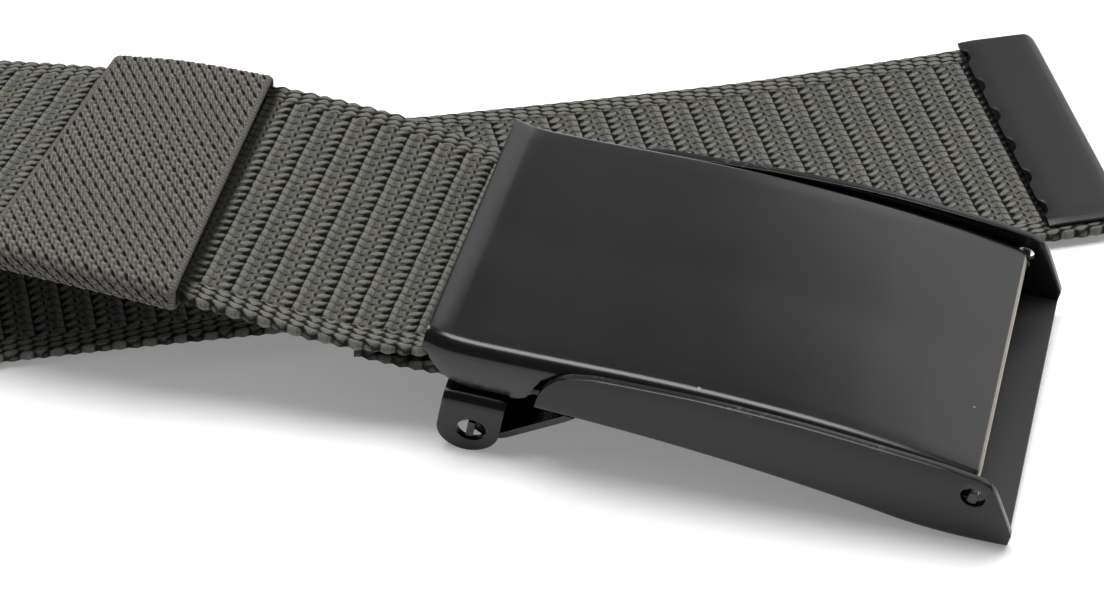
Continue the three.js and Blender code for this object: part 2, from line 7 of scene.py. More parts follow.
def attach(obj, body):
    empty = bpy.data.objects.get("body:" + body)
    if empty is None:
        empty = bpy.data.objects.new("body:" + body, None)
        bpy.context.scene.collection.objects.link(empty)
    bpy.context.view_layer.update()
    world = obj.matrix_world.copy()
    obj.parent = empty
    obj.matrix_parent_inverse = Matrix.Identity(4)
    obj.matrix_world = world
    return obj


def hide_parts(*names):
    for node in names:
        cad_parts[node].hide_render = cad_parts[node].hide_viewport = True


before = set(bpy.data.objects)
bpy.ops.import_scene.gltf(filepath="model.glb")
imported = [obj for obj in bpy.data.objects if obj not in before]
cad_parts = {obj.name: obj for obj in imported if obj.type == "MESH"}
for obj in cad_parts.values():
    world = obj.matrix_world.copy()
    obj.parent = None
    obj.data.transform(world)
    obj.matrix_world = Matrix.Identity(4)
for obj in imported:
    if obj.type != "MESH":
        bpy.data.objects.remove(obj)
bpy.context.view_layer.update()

# ------------------------------------------------------------------ sizes
# Millimetres in the layout frame (origin on the table at the picture's centre); the
# row frame is the layout moved by -ORIGIN.
ORIGIN = np.array([-199.19, 21.8, 0.0])
GAP = 0.3
STRAP_W, STRAP_T = 38.0, 1.7
MOUTH_HALF, TAIL_HALF, TAIL_OUT = 17.0, 18.5, 12.5
SHEET = 0.9
CROWN, CROWN_U = 1.65 / 900, -37.0
TRAY_HALF, WALL_T, TRAY_LEFT, BEND_R = 21.1, 0.9, -59.0, 1.5
COVER_HALF, COVER_RIGHT, COVER_ROLL = 19.85, -5.7, 2.0
FLANGE_LOW = 0.15
PIVOT, PIVOT_R, PIVOT_HOLE_R = (-6.0, 9.1), 1.0, 1.4
PLATE_LEFT, LEFT_DROP = -70.2, 1.7
EAR = dict(u0=-70.2, u1=-62.4, low=-10.2, t=0.9, hole_u=-66.0, hole_w=-6.3, hole_r=1.65)
BAR = dict(u=-32.0, w=4.4, r=1.0)
BUCKLE_AT = np.array([59.43, -23.63, 1.03])
BUCKLE_HEAD, BUCKLE_TILT, BUCKLE_ROLL = -14.21, 10.08, 2.8
KEEPER_S0, KEEPER_S1, KEEPER_WALL = 35.1, 58.7, 1.1
TIP = dict(t1=11.1, near=-19.5, far=20.0, sheet=0.6, high=3.5, skew=-0.037, notches=(17, 10.6, 4.2, -2.2, -8.7, -15.1))
FLAT_RUN, STRAP_IN_TIP, TIP_LIFT = 86.2, 8.95, 0.9
# distance along the strap (mm), bend and twist there (radians per metre)
COURSE = np.array([
    (0.0, 6.882, -4.921), (18.0, 2.416, 0.075), (36.0, -9.763, 3.571), (54.0, 1.266, 5.066),
    (72.0, -2.209, 6.053), (90.0, -2.209, 5.749), (142.0, 2.256, 3.879), (194.0, 1.406, 3.145),
    (246.1, 0.524, 4.239), (298.1, -0.547, 5.090), (350.1, -3.461, 4.299), (402.1, -8.213, 2.173),
    (454.1, -12.921, 0.283), (506.2, -15.359, -0.064), (558.2, -14.327, 0.006), (610.2, -10.290, -1.466),
    (662.2, -5.154, -3.974), (714.3, -1.244, -5.659), (766.3, 0.303, -5.511), (818.3, 0.342, -4.078),
    (870.3, 0.015, -3.086), (922.3, -0.202, -2.848), (974.4, 0.284, -2.805), (1026.4, 1.815, -2.063),
])
COURSE_START = ((-7.325, -6.741, 13.479), (-0.96691, 0.25030, 0.04939), (0.25236, 0.96675, 0.04121))
# heights in the buckle's own straight frame: u along it, w up from the tray bottom
COVER_TOP = np.array([
    (-74.0, 7.75), (-73.2, 7.45), (-72.2, 7.1), (-71.0, 6.85), (-69.5, 6.72), (-67, 6.7), (-62, 6.85), (-57, 7.15),
    (-50, 7.75), (-40, 8.6), (-30, 9.35), (-22, 9.9), (-14, 10.3), (-5.7, 10.5),
])
WALL_TOP = np.array([
    (-59.0, 1.7), (-58.85, 2.9), (-58.5, 4.2), (-57.9, 5.4), (-57.0, 6.55), (-55.6, 7.4), (-53.0, 8.1),
    (-48, 8.65), (-40, 9.6), (-28, 10.6), (-18, 11.3), (-10, 12.0), (-5.6, 12.15), (-4.5, 11.8),
    (-3.7, 11.1), (-3.0, 10.1), (-1.5, 7.6), (0, 5.0),
])
FLANGE = np.array([
    (-74.0, 6.6), (-73.66, 6.0), (-73.2, 4.9), (-72.76, 3.9), (-72.2, 3.0), (-71.0, 1.5), (-69.5, 0.6), (-67.6, 0.15),
    (-61.2, 0.15), (-60.4, 0.6), (-59.9, 1.7), (-59.6, 3.0), (-59.1, 4.2), (-58.3, 4.75), (-57.0, 4.95),
])

# webbing weave: pitch of the cross ribs along the strap and of the floats across it,
# rows of stitches along both edges, and the ribs' slight slant
RIB, FLOAT, EDGE_ROW, STITCH = 3.88, 1.21, 0.86, 1.94
EDGE_IN = 16.35
RIB_AT, FLOAT_AT = 10.47, 0.24
SLANT_NEAR, SLANT_TAIL = 0.055, -0.055


def smooth(x):
    t = np.clip(x, 0, 1)
    return t * t * (3 - 2 * t)


def unit(a):
    return a / np.linalg.norm(a, axis=-1, keepdims=True)


def table(rows, x):
    return np.interp(x, rows[:, 0], rows[:, 1])


def round_table(rows, x, r=0.5):
    """The table with its corners rounded over r either side."""
    return sum(table(rows, x + d) for d in (-r, -r / 2, 0, r / 2, r)) / 5


def to_row(p):
    return (np.asarray(p, float) - ORIGIN) * 0.001


# ------------------------------------------------------------------ buckle frame
def buckle_basis():
    h, t, r = (math.radians(x) for x in (BUCKLE_HEAD, BUCKLE_TILT, BUCKLE_ROLL))
    u = np.array([math.cos(h) * math.cos(t), math.sin(h) * math.cos(t), -math.sin(t)])
    v0 = np.array([-math.sin(h), math.cos(h), 0.0])
    w0 = np.cross(u, v0)
    v = v0 * math.cos(r) + w0 * math.sin(r)
    return u, v, np.cross(u, v)


BU, BV, BW = buckle_basis()


def crown(u):
    return -CROWN * (np.asarray(u, float) - CROWN_U) ** 2


def plate_low(u):
    u = np.asarray(u, float)
    return np.where(u < TRAY_LEFT, -LEFT_DROP * (1 - smooth((u + 62.0) / 2.6)), 2.5 * (np.maximum(0, u + 14) / 14) ** 1.8)


def from_buckle(p):
    """(u, v, w straight) points in mm to the row frame in metres, with the bow added."""
    p = np.asarray(p, float)
    w = p[..., 2] + crown(p[..., 0])
    q = BUCKLE_AT + p[..., :1] * BU + p[..., 1:2] * BV + w[..., None] * BW
    return to_row(q)


# ------------------------------------------------------------------ mesh helpers
def make(name, verts, faces, body, replaces=None, smooth_faces=True, materials=()):
    me = bpy.data.meshes.new(name)
    me.from_pydata([tuple(map(float, v)) for v in verts], [], faces)
    me.validate()
    me.update()
    ob = bpy.data.objects.new(name, me)
    bpy.context.scene.collection.objects.link(ob)
    me.polygons.foreach_set("use_smooth", [smooth_faces] * len(me.polygons))
    for m in materials:
        me.materials.append(m)
    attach(ob, body)
    if replaces:
        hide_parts(*([replaces] if isinstance(replaces, str) else replaces))
    return ob


def loft_faces(n_rings, n, closed_along=False, caps=True):
    faces = []
    for k in range(n_rings if closed_along else n_rings - 1):
        a, b = k * n, ((k + 1) % n_rings) * n
        for i in range(n):
            j = (i + 1) % n
            faces.append((a + i, a + j, b + j, b + i))
    if caps and not closed_along:
        faces.append(tuple(range(n - 1, -1, -1)))
        o = (n_rings - 1) * n
        faces.append(tuple(range(o, o + n)))
    return faces


def face_out(ob):
    """Turns the faces so that the volume is positive."""
    import bmesh
    bm = bmesh.new()
    bm.from_mesh(ob.data)
    bmesh.ops.recalc_face_normals(bm, faces=bm.faces)
    if bm.calc_volume(signed=True) < 0:
        bmesh.ops.reverse_faces(bm, faces=bm.faces)
    bm.to_mesh(ob.data)
    bm.free()


def attribute(ob, name, values):
    values = np.asarray(values, np.float32)
    kind = "FLOAT_VECTOR" if values.ndim == 2 else "FLOAT"
    at = ob.data.attributes.new(name, kind, "POINT")
    at.data.foreach_set("vector" if values.ndim == 2 else "value", values.ravel())


def bevel(ob, width, segments=2, angle=35):
    m = ob.modifiers.new("edges", "BEVEL")
    m.width, m.segments, m.limit_method, m.angle_limit = width, segments, "ANGLE", math.radians(angle)
    m.harden_normals = False
    return m


def apply_modifiers(ob):
    dg = bpy.context.evaluated_depsgraph_get()
    me = bpy.data.meshes.new_from_object(ob.evaluated_get(dg), preserve_all_data_layers=True, depsgraph=dg)
    old = ob.data
    ob.modifiers.clear()
    ob.data = me
    bpy.data.meshes.remove(old)


def sharp_by_angle(ob, degrees=35):
    ob.data.set_sharp_from_angle(angle=math.radians(degrees))


# ------------------------------------------------------------------ node helpers
class Nodes:
    """A material's node tree, with arithmetic on sockets."""

    def __init__(self, name, viewport):
        self.mat = bpy.data.materials.new(name)
        self.mat.use_nodes = True
        self.mat.diffuse_color = (*viewport, 1)
        self.t = self.mat.node_tree
        self.bsdf = self.t.nodes["Principled BSDF"]

    def put(self, value, socket):
        if isinstance(value, bpy.types.NodeSocket):
            self.t.links.new(value, socket)
        else:
            socket.default_value = value

    def m(self, op, *args, clamp=False):
        n = self.t.nodes.new("ShaderNodeMath")
        n.operation, n.use_clamp = op, clamp
        for a, s in zip(args, n.inputs):
            self.put(a, s)
        return n.outputs[0]

    def add(self, a, b): return self.m("ADD", a, b)
    def sub(self, a, b): return self.m("SUBTRACT", a, b)
    def mul(self, a, b): return self.m("MULTIPLY", a, b)
    def div(self, a, b): return self.m("DIVIDE", a, b)
    def fract(self, a): return self.m("FRACT", a)
    def abs(self, a): return self.m("ABSOLUTE", a)
    def lt(self, a, b): return self.m("LESS_THAN", a, b)
    def gt(self, a, b): return self.m("GREATER_THAN", a, b)
    def mn(self, a, b): return self.m("MINIMUM", a, b)
    def mx(self, a, b): return self.m("MAXIMUM", a, b)

    def step(self, a, lo, hi, out_lo=0.0, out_hi=1.0):
        n = self.t.nodes.new("ShaderNodeMapRange")
        n.interpolation_type = "SMOOTHSTEP"
        self.put(a, n.inputs["Value"])
        for k, v in (("From Min", lo), ("From Max", hi), ("To Min", out_lo), ("To Max", out_hi)):
            self.put(v, n.inputs[k])
        return n.outputs[0]

    def mix(self, f, a, b):
        """Float mix."""
        return self.add(self.mul(a, self.sub(1.0, f)), self.mul(b, f))

    def colour(self, f, a, b):
        n = self.t.nodes.new("ShaderNodeMix")
        n.data_type = "RGBA"
        self.put(f, n.inputs[0])
        for v, i in ((a, 6), (b, 7)):
            if isinstance(v, bpy.types.NodeSocket):
                self.t.links.new(v, n.inputs[i])
            else:
                n.inputs[i].default_value = (*v, 1)
        return n.outputs[2]

    def attr(self, name):
        n = self.t.nodes.new("ShaderNodeAttribute")
        n.attribute_name = name
        return n

    def xyz(self, vector):
        n = self.t.nodes.new("ShaderNodeSeparateXYZ")
        self.t.links.new(vector, n.inputs[0])
        return n.outputs

    def vec(self, x, y, z=0.0):
        n = self.t.nodes.new("ShaderNodeCombineXYZ")
        for v, s in zip((x, y, z), n.inputs):
            self.put(v, s)
        return n.outputs[0]

    def position(self):
        return self.t.nodes.new("ShaderNodeTexCoord").outputs["Object"]

    def noise(self, vector, scale, detail=2.0, rough=0.5, colour=False):
        n = self.t.nodes.new("ShaderNodeTexNoise")
        self.t.links.new(vector, n.inputs["Vector"])
        n.inputs["Scale"].default_value = scale
        n.inputs["Detail"].default_value = detail
        n.inputs["Roughness"].default_value = rough
        return n.outputs["Color" if colour else "Fac"]

    def voronoi(self, vector, scale, feature="F1", randomness=1.0):
        n = self.t.nodes.new("ShaderNodeTexVoronoi")
        n.feature = feature
        self.t.links.new(vector, n.inputs["Vector"])
        n.inputs["Scale"].default_value = scale
        n.inputs["Randomness"].default_value = randomness
        return n.outputs

    def bump(self, height, distance, strength=1.0, normal=None):
        n = self.t.nodes.new("ShaderNodeBump")
        n.inputs["Distance"].default_value = distance
        n.inputs["Strength"].default_value = strength
        self.put(height, n.inputs["Height"])
        if normal is not None:
            self.t.links.new(normal, n.inputs["Normal"])
        return n.outputs[0]


# ------------------------------------------------------------------ webbing material
def weave_numbers(S, V, x):
    """The weave's height and tone at (S, V) in mm, both from 0 to 1. x is numpy or the node
    helper, so that the mesh and the material show the same threads. p runs once per rib,
    from one column of floats to the next; q once per float."""
    slant = x.step(S, 300.0, 800.0, SLANT_NEAR, SLANT_TAIL)
    p = x.fract(x.div(x.sub(x.sub(RIB_AT, S), x.mul(V, slant)), RIB))
    q0 = x.div(x.sub(V, FLOAT_AT), FLOAT)

    def away(level):
        return x.sub(x.fract(x.add(x.sub(q0, level), 0.5)), 0.5)

    def blob(pc, pr, dq, qr, hard=0.5):
        a, b = x.div(x.sub(p, pc), pr), x.div(dq, qr)
        return x.step(x.add(x.mul(a, a), x.mul(b, b)), 1.25, hard)

    # 0 .. 0.44: slanted floats over open holes; the holes' floors are painted dark as shade, and each float is painted
    #            darker towards its hole as shade
    lens = blob(0.195, 0.235, away(x.sub(x.mul(p, 1.2), 0.05)), 0.345, 0.30)
    floor_c = x.step(p, 0.12, 0.25, 0.40, 0.0)
    tone_c = x.mix(lens, floor_c, x.sub(1.06, x.mul(p, 0.95)))
    high_c = x.mul(lens, 0.62)
    # 0.44 .. 0.69: raised rounded blocks, each painted lighter on the side next to the floats as a highlight
    a, b = x.div(x.sub(p, 0.555), 0.142), x.div(away(x.sub(0.04, x.mul(x.sub(p, 0.555), 1.0))), 0.475)
    a2, b2 = x.mul(a, a), x.mul(b, b)
    block = x.step(x.add(x.mul(a2, a2), x.mul(b2, b2)), 1.3, 0.15)
    tone_a = x.mul(x.add(0.46, x.mul(block, 0.48)), x.step(p, 0.46, 0.68, 1.0, 0.72))
    high_a = x.add(0.30, x.mul(block, x.sub(0.70, x.mul(a2, 0.22))))
    # 0.69 .. 1: flat braid with small slits and a light stroke between them
    slit1 = blob(0.765, 0.085, away(x.add(-0.45, x.mul(x.sub(p, 0.765), 1.1))), 0.15, 0.2)
    slit2 = blob(0.95, 0.052, away(0.05), 0.33, 0.2)
    stroke = blob(0.855, 0.075, away(x.sub(0.0, x.mul(x.sub(p, 0.855), 4.2))), 0.20, 0.2)
    tone_b = x.mul(x.mul(x.add(0.52, x.mul(stroke, 0.22)), x.sub(1.0, x.mul(slit1, 0.82))), x.sub(1.0, x.mul(slit2, 0.86)))
    high_b = x.sub(x.add(0.46, x.mul(stroke, 0.10)), x.mul(x.mx(slit1, slit2), 0.26))
    is_a, is_b = x.step(p, 0.425, 0.455), x.step(p, 0.675, 0.71)
    tone = x.mix(is_b, x.mix(is_a, tone_c, tone_a), tone_b)
    high = x.mix(is_b, x.mix(is_a, high_c, high_a), high_b)
    # edges: stacks of long stitches, every other stack half a row lower
    k = x.sub(x.mul(p, 2.0), 0.1)
    t = x.sub(x.fract(k), 0.5)
    odd = x.add(x.gt(k, 1.0), x.lt(k, 0.0))
    e = x.add(x.div(x.sub(x.abs(V), EDGE_IN), EDGE_ROW), x.mul(odd, 0.5))
    r = x.sub(x.fract(x.sub(e, x.mul(t, 0.34))), 0.5)
    ta, ra = x.div(t, 0.52), x.div(r, 0.47)
    stitch = x.step(x.add(x.mul(ta, ta), x.mul(ra, ra)), 1.3, 0.35)
    edge = x.step(x.abs(V), EDGE_IN - 0.12, EDGE_IN + 0.12)
    tone = x.mix(edge, tone, x.mul(x.add(0.05, x.mul(stitch, 0.93)), x.step(t, -0.45, 0.5, 1.04, 0.82)))
    high = x.mix(edge, high, x.add(0.18, x.mul(stitch, 0.62)))
    return high, tone


class Plain:
    """The same arithmetic on arrays."""
    add = staticmethod(lambda a, b: a + b)
    sub = staticmethod(lambda a, b: a - b)
    mul = staticmethod(lambda a, b: a * b)
    div = staticmethod(lambda a, b: a / b)
    fract = staticmethod(lambda a: a - np.floor(a))
    abs = staticmethod(np.abs)
    lt = staticmethod(lambda a, b: (a < b) * 1.0)
    gt = staticmethod(lambda a, b: (a > b) * 1.0)
    mx = staticmethod(np.maximum)
    mn = staticmethod(np.minimum)
    mix = staticmethod(lambda f, a, b: a * (1 - f) + b * f)

    @staticmethod
    def step(a, lo, hi, out_lo=0.0, out_hi=1.0):
        t = np.clip((a - lo) / (hi - lo), 0, 1)
        return out_lo + (out_hi - out_lo) * t * t * (3 - 2 * t)


def webbing_material():
    n = Nodes("webbing_weave", (0.12, 0.12, 0.1))
    cloth = n.xyz(n.attr("cloth").outputs["Vector"])
    S, V, detail = cloth[0], cloth[1], cloth[2]
    # slight waver of the threads
    w = n.xyz(n.noise(n.vec(n.mul(S, 0.35), n.mul(V, 0.35)), 1.0, 2.0, 0.5, colour=True))
    w2 = n.xyz(n.noise(n.vec(n.mul(S, 1.1), n.mul(V, 1.1), 7.0), 1.0, 1.0, 0.5, colour=True))
    Sw = n.add(n.add(S, n.mul(n.sub(w[0], 0.5), 0.30)), n.mul(n.sub(w2[0], 0.5), 0.22))
    Vw = n.add(n.add(V, n.mul(n.sub(w[1], 0.5), 0.26)), n.mul(n.sub(w2[1], 0.5), 0.18))
    high, tone = weave_numbers(Sw, Vw, n)
    fibre = n.noise(n.vec(n.mul(S, 2.2), n.mul(V, 9.0)), 1.0, 3.0, 0.65)
    blotch = n.noise(n.vec(n.mul(S, 0.16), n.mul(V, 0.16), 3.0), 1.0, 2.0, 0.5)
    each = n.noise(n.vec(n.mul(S, 0.55), n.mul(V, 0.85), 5.0), 1.0, 1.0, 0.5)
    grain = n.noise(n.vec(n.mul(S, 3.4), n.mul(V, 4.6), 9.0), 1.0, 2.0, 0.6)
    level = n.mul(n.mul(tone, n.add(0.70, n.mul(fibre, 0.60))), n.mul(n.add(0.70, n.mul(each, 0.60)), n.add(0.12, n.mul(grain, 1.80))))
    # in the shadow along the tip's crimped edge
    under = n.mul(n.step(n.sub(S, n.mul(V, 0.037)), S_END - 9.6, S_END - 9.15), n.step(n.abs(V), 18.2, 17.6))
    # and in the one beside the keeper
    beside = n.mul(n.step(S, KEEPER_S0 - 2.4, KEEPER_S0 - 1.0), n.lt(S, KEEPER_S0 + 8.0))
    level = n.mul(n.mul(level, n.sub(1.0, n.mul(under, 0.9))), n.sub(1.0, n.mul(beside, 0.92)))
    # the folded-under cut end is darker over its last 18 mm: partly its sealed cut, partly painted shade from the
    # strap lying over it
    level = n.mul(level, n.step(S, S_START + 6.0, S_START + 18.0, 0.3, 1.0))
    shade = n.colour(level, (0.003, 0.003, 0.0025), (0.177, 0.175, 0.161))
    warm = n.colour(n.step(blotch, 0.3, 0.7), (0.94, 0.96, 1.0), (1.05, 1.03, 0.94))
    mixed = n.t.nodes.new("ShaderNodeMix")
    mixed.data_type, mixed.blend_type = "RGBA", "MULTIPLY"
    mixed.inputs[0].default_value = 1.0
    n.t.links.new(shade, mixed.inputs[6])
    n.t.links.new(warm, mixed.inputs[7])
    n.t.links.new(mixed.outputs[2], n.bsdf.inputs["Base Color"])
    n.bsdf.inputs["Roughness"].default_value = 0.6
    n.bsdf.inputs["Specular IOR Level"].default_value = 0.05
    b1 = n.bump(n.mul(high, n.add(0.30, n.mul(detail, 0.70))), 0.00036, 1.0)
    b2 = n.bump(fibre, 0.00006, 0.6, b1)
    n.t.links.new(b2, n.bsdf.inputs["Normal"])
    return n.mat


# ------------------------------------------------------------------ keeper material
def knit_numbers(S, V, x):
    """Rows of small dark gaps that run down diagonally, 1.6 mm apart along the band and
    1.74 mm across it; a finer row of gaps between each two, and short loops of thread
    between the rows."""
    r = x.sub(x.mul(V, 0.545), x.mul(S, 0.623))
    d = x.sub(x.fract(r), 0.5)
    e = x.sub(x.fract(x.add(x.add(x.mul(S, 0.623), x.mul(V, 0.024)), x.mul(d, 0.25))), 0.5)
    d2, e2 = x.div(d, 0.17), x.div(e, 0.27)
    gap = x.step(x.add(x.mul(d2, d2), x.mul(e2, e2)), 1.4, 0.15)
    e3 = x.sub(x.fract(x.add(e, 1.0)), 0.5)
    d3, e4 = x.div(d, 0.12), x.div(e3, 0.14)
    faint = x.step(x.add(x.mul(d3, d3), x.mul(e4, e4)), 1.4, 0.15)
    # the middle of the ridge is pinched by small gaps of its own
    dm = x.sub(0.5, x.abs(d))
    em = x.sub(x.fract(x.add(x.mul(e, 2.0), 0.25)), 0.5)
    d5, e5 = x.div(dm, 0.10), x.div(em, 0.24)
    pinch = x.step(x.add(x.mul(d5, d5), x.mul(e5, e5)), 1.4, 0.1)
    th = x.abs(x.sub(x.fract(x.add(x.mul(S, 1.257), x.mul(dm, 1.5))), 0.5))
    ridge = x.step(th, 0.5, 0.12)
    body = x.mul(x.add(0.55, x.mul(ridge, 0.45)), x.step(x.abs(d), 0.02, 0.20, 0.52, 1.0))
    holes = x.mul(x.mul(x.sub(1.0, x.mul(gap, 0.96)), x.sub(1.0, x.mul(faint, 0.75))), x.sub(1.0, x.mul(pinch, 0.50)))
    return x.mul(holes, body)


def elastic_material():
    n = Nodes("elastic_knit", (0.13, 0.12, 0.11))
    cloth = n.xyz(n.attr("cloth").outputs["Vector"])
    S, V, detail = cloth[0], cloth[1], cloth[2]
    w = n.xyz(n.noise(n.vec(n.mul(S, 0.7), n.mul(V, 0.7)), 1.0, 2.0, 0.5, colour=True))
    Sw = n.add(S, n.mul(n.sub(w[0], 0.5), 0.34))
    Vw = n.add(V, n.mul(n.sub(w[1], 0.5), 0.34))
    k = knit_numbers(Sw, Vw, n)
    # plain selvedge at both ends: fine threads across, no gaps
    band = n.step(detail, 0.35, 0.65)
    thread = n.abs(n.sub(n.fract(n.div(Vw, 0.52)), 0.5))
    t = n.mix(band, k, n.add(0.52, n.mul(n.step(thread, 0.5, 0.1), 0.24)))
    fibre = n.noise(n.vec(n.mul(S, 5.0), n.mul(V, 3.4)), 1.0, 3.0, 0.7)
    grain = n.noise(n.vec(n.mul(S, 4.0), n.mul(V, 4.4), 4.0), 1.0, 2.0, 0.6)
    level = n.mul(n.mul(t, n.add(0.55, n.mul(fibre, 0.90))), n.add(0.30, n.mul(grain, 1.40)))
    shade = n.colour(level, (0.005, 0.0035, 0.0065), (0.190, 0.178, 0.159))
    n.t.links.new(shade, n.bsdf.inputs["Base Color"])
    n.bsdf.inputs["Roughness"].default_value = 0.85
    n.bsdf.inputs["Specular IOR Level"].default_value = 0.08
    b1 = n.bump(t, 0.00026, 1.0)
    b2 = n.bump(fibre, 0.00012, 0.8, b1)
    n.t.links.new(b2, n.bsdf.inputs["Normal"])
    return n.mat


# ------------------------------------------------------------------ metal material
def coated_metal(name, base=(0.0058, 0.0058, 0.0063), rough=0.30, wear=0.5, specks=1.0, gloss=0.43):
    n = Nodes(name, (0.03, 0.03, 0.032))
    p = n.position()
    cloudy = n.noise(p, 60.0, 3.0, 0.55)
    fine = n.noise(p, 2600.0, 2.0, 0.6)
    # rubbed spots on the sheet's edges, and bare steel where it was cut last
    edge = n.attr("edge").outputs["Fac"]
    raw = n.attr("raw").outputs["Fac"]
    chips = n.mul(n.step(n.noise(p, 1500.0, 2.0, 0.6), 0.52, 0.64), n.step(n.noise(p, 110.0, 1.0, 0.5), 0.50, 0.66))
    worn = n.mul(n.mul(n.step(edge, 0.5, 1.0), chips), wear)
    # a few tiny pale specks of dust
    cells = n.voronoi(p, 300.0)
    rnd = n.xyz(cells["Color"])
    dot = n.mul(n.step(cells["Distance"], 0.075, 0.03), n.gt(rnd[0], 0.955))
    dot = n.mul(dot, 0.55 * specks)
    base_col = n.colour(n.step(cloudy, 0.3, 0.7), tuple(0.9 * c for c in base), tuple(1.12 * c for c in base))
    with_wear = n.colour(worn, base_col, (0.22, 0.21, 0.195))
    with_dots = n.colour(dot, with_wear, (0.42, 0.42, 0.43))
    # painted reflection: the tray floor near the right end is painted paler, standing in for the surroundings it
    # reflects
    with_dots = n.colour(n.attr("pale").outputs["Fac"], with_dots, (0.036, 0.036, 0.037))
    grain = n.noise(p, 700.0, 2.0, 0.6)
    steel = n.colour(grain, (0.24, 0.22, 0.18), (0.40, 0.365, 0.31))
    n.t.links.new(n.colour(raw, with_dots, steel), n.bsdf.inputs["Base Color"])
    n.t.links.new(n.mul(raw, 0.9), n.bsdf.inputs["Metallic"])
    n.bsdf.inputs["Specular IOR Level"].default_value = gloss
    r = n.add(n.add(rough - 0.03, n.mul(cloudy, 0.05)), n.mul(n.sub(fine, 0.5), 0.05))
    n.t.links.new(n.add(r, n.mul(raw, 0.12)), n.bsdf.inputs["Roughness"])
    b1 = n.bump(fine, 0.000006, 0.5)
    b2 = n.bump(cloudy, 0.00003, 0.2, b1)
    n.t.links.new(b2, n.bsdf.inputs["Normal"])
    return n.mat


# ------------------------------------------------------------------ course of the strap
def turn(v, axis, angle):
    c, s = math.cos(angle), math.sin(angle)
    return v * c + np.cross(axis, v) * s + axis * (axis @ v) * (1 - c)


def course_frames():
    p, t, w = (np.array(x, float) for x in COURSE_START)
    t, w = unit(t), unit(w)
    n = unit(np.cross(w, t))
    end = COURSE[-1, 0]
    stations = np.concatenate([np.linspace(0, 24, 5), np.linspace(24, 72, 13)[1:], np.linspace(72, end, round((end - 72) / 8) + 1)[1:]])
    out = [(0.0, p.copy(), t.copy(), w.copy(), n.copy())]
    for a, b in zip(stations[:-1], stations[1:]):
        hs = (b - a) / 3
        for j in range(3):
            s = a + (j + 0.5) * hs
            k, tw = np.interp(s, COURSE[:, 0], COURSE[:, 1]) / 1000, np.interp(s, COURSE[:, 0], COURSE[:, 2]) / 1000
            om = w * k + t * tw
            q = np.linalg.norm(om) * hs
            om = unit(om)
            p = p + turn(t, om, q / 2) * hs
            t, w, n = turn(t, om, q), turn(w, om, q), turn(n, om, q)
        out.append((b, p.copy(), t.copy(), w.copy(), n.copy()))
    return out


COURSE_FRAMES = course_frames()


def frame_at(s):
    ss = np.array([f[0] for f in COURSE_FRAMES])
    j = int(max(1, np.searchsorted(ss, s)))
    a, b = COURSE_FRAMES[j - 1], COURSE_FRAMES[j]
    f = (s - a[0]) / (b[0] - a[0])
    return a[1] * (1 - f) + b[1] * f, unit(a[3] * (1 - f) + b[3] * f), unit(a[4] * (1 - f) + b[4] * f)


def strap_stations():
    """The whole strap from its folded-under end to its end in the tip, as in the CAD:
    rows of position, width direction, face normal, half width and distance s (negative
    inside the buckle)."""
    R = BAR["r"] + GAP + 0.05 + STRAP_T / 2
    low, high = BAR["w"] - R, BAR["w"] + R
    tail = -LEFT_DROP + SHEET + GAP + STRAP_T / 2
    out = []
    for s in (TAIL_OUT, 9, 6, 3):
        p, w, n = frame_at(s)
        out.append([p - n * (STRAP_T + GAP), w, -n, TAIL_HALF])
    inside = []
    knots = [(-69.4, tail), (-65.2, tail), (-62.8, tail + 0.4), (-61.0, tail + 1.45), (-59.1, low), (-56, low), (-50, low),
             (-44, low), (-38, low), (-34.5, low), (BAR["u"], low)]
    for i, (u, w) in enumerate(knots):
        inside.append((u, w, TAIL_HALF - (TAIL_HALF - MOUTH_HALF) * float(smooth(i / 6))))
    for d in range(-72, 91, 18):
        a = math.radians(d)
        inside.append((BAR["u"] + R * math.cos(a), BAR["w"] + R * math.sin(a), MOUTH_HALF))
    for u, w in [(-35, high - 0.1), (-40, high - 0.75), (-46, high - 1.75), (-52, high - 2.8), (-58, high - 3.5), (-63, 2.75), (-67, 2.45)]:
        inside.append((u, w, MOUTH_HALF))
    pts = [BUCKLE_AT + BU * u + BW * (w + float(crown(u))) for u, w, _ in inside]
    for i, (u, w, half) in enumerate(inside):
        a = pts[i - 1] if i else out[-1][0]
        b = pts[i + 1] if i < len(pts) - 1 else COURSE_FRAMES[0][1]
        out.append([pts[i], BV, unit(np.cross(BV, unit(b - a))), half])
    start = len(out)
    for s, p, t, w, n in COURSE_FRAMES:
        out.append([p.copy(), w, n, STRAP_W / 2 - (STRAP_W / 2 - MOUTH_HALF) * max(0, 1 - s / 14)])
    _, p0, t0, _, _ = COURSE_FRAMES[-1]
    d = unit(np.array([t0[0], t0[1], 0.0]))
    wd = np.array([d[1], -d[0], 0.0])
    for x in np.linspace(8, FLAT_RUN, round((FLAT_RUN - 8) / 8) + 1):
        p = p0 + d * x
        p[2] = STRAP_T / 2 + TIP_LIFT * float(smooth((x - (FLAT_RUN - 45)) / 33))
        out.append([p, wd, np.array([0, 0, 1.0]), STRAP_W / 2])
    for f in out[start:]:
        low_z = min(f[0][2] + a * f[3] * f[1][2] + b * STRAP_T * f[2][2] / 2 for a in (-1, 1) for b in (-1, 1))
        if low_z < 0:
            f[0][2] -= low_z
    P = np.array([f[0] for f in out])
    L = np.concatenate([[0], np.cumsum(np.linalg.norm(np.diff(P, axis=0), axis=1))])
    return L - L[start], P, np.array([f[1] for f in out]), np.array([f[2] for f in out]), np.array([f[3] for f in out])


STATIONS = strap_stations()
S_START, S_END = float(STATIONS[0][0]), float(STATIONS[0][-1])


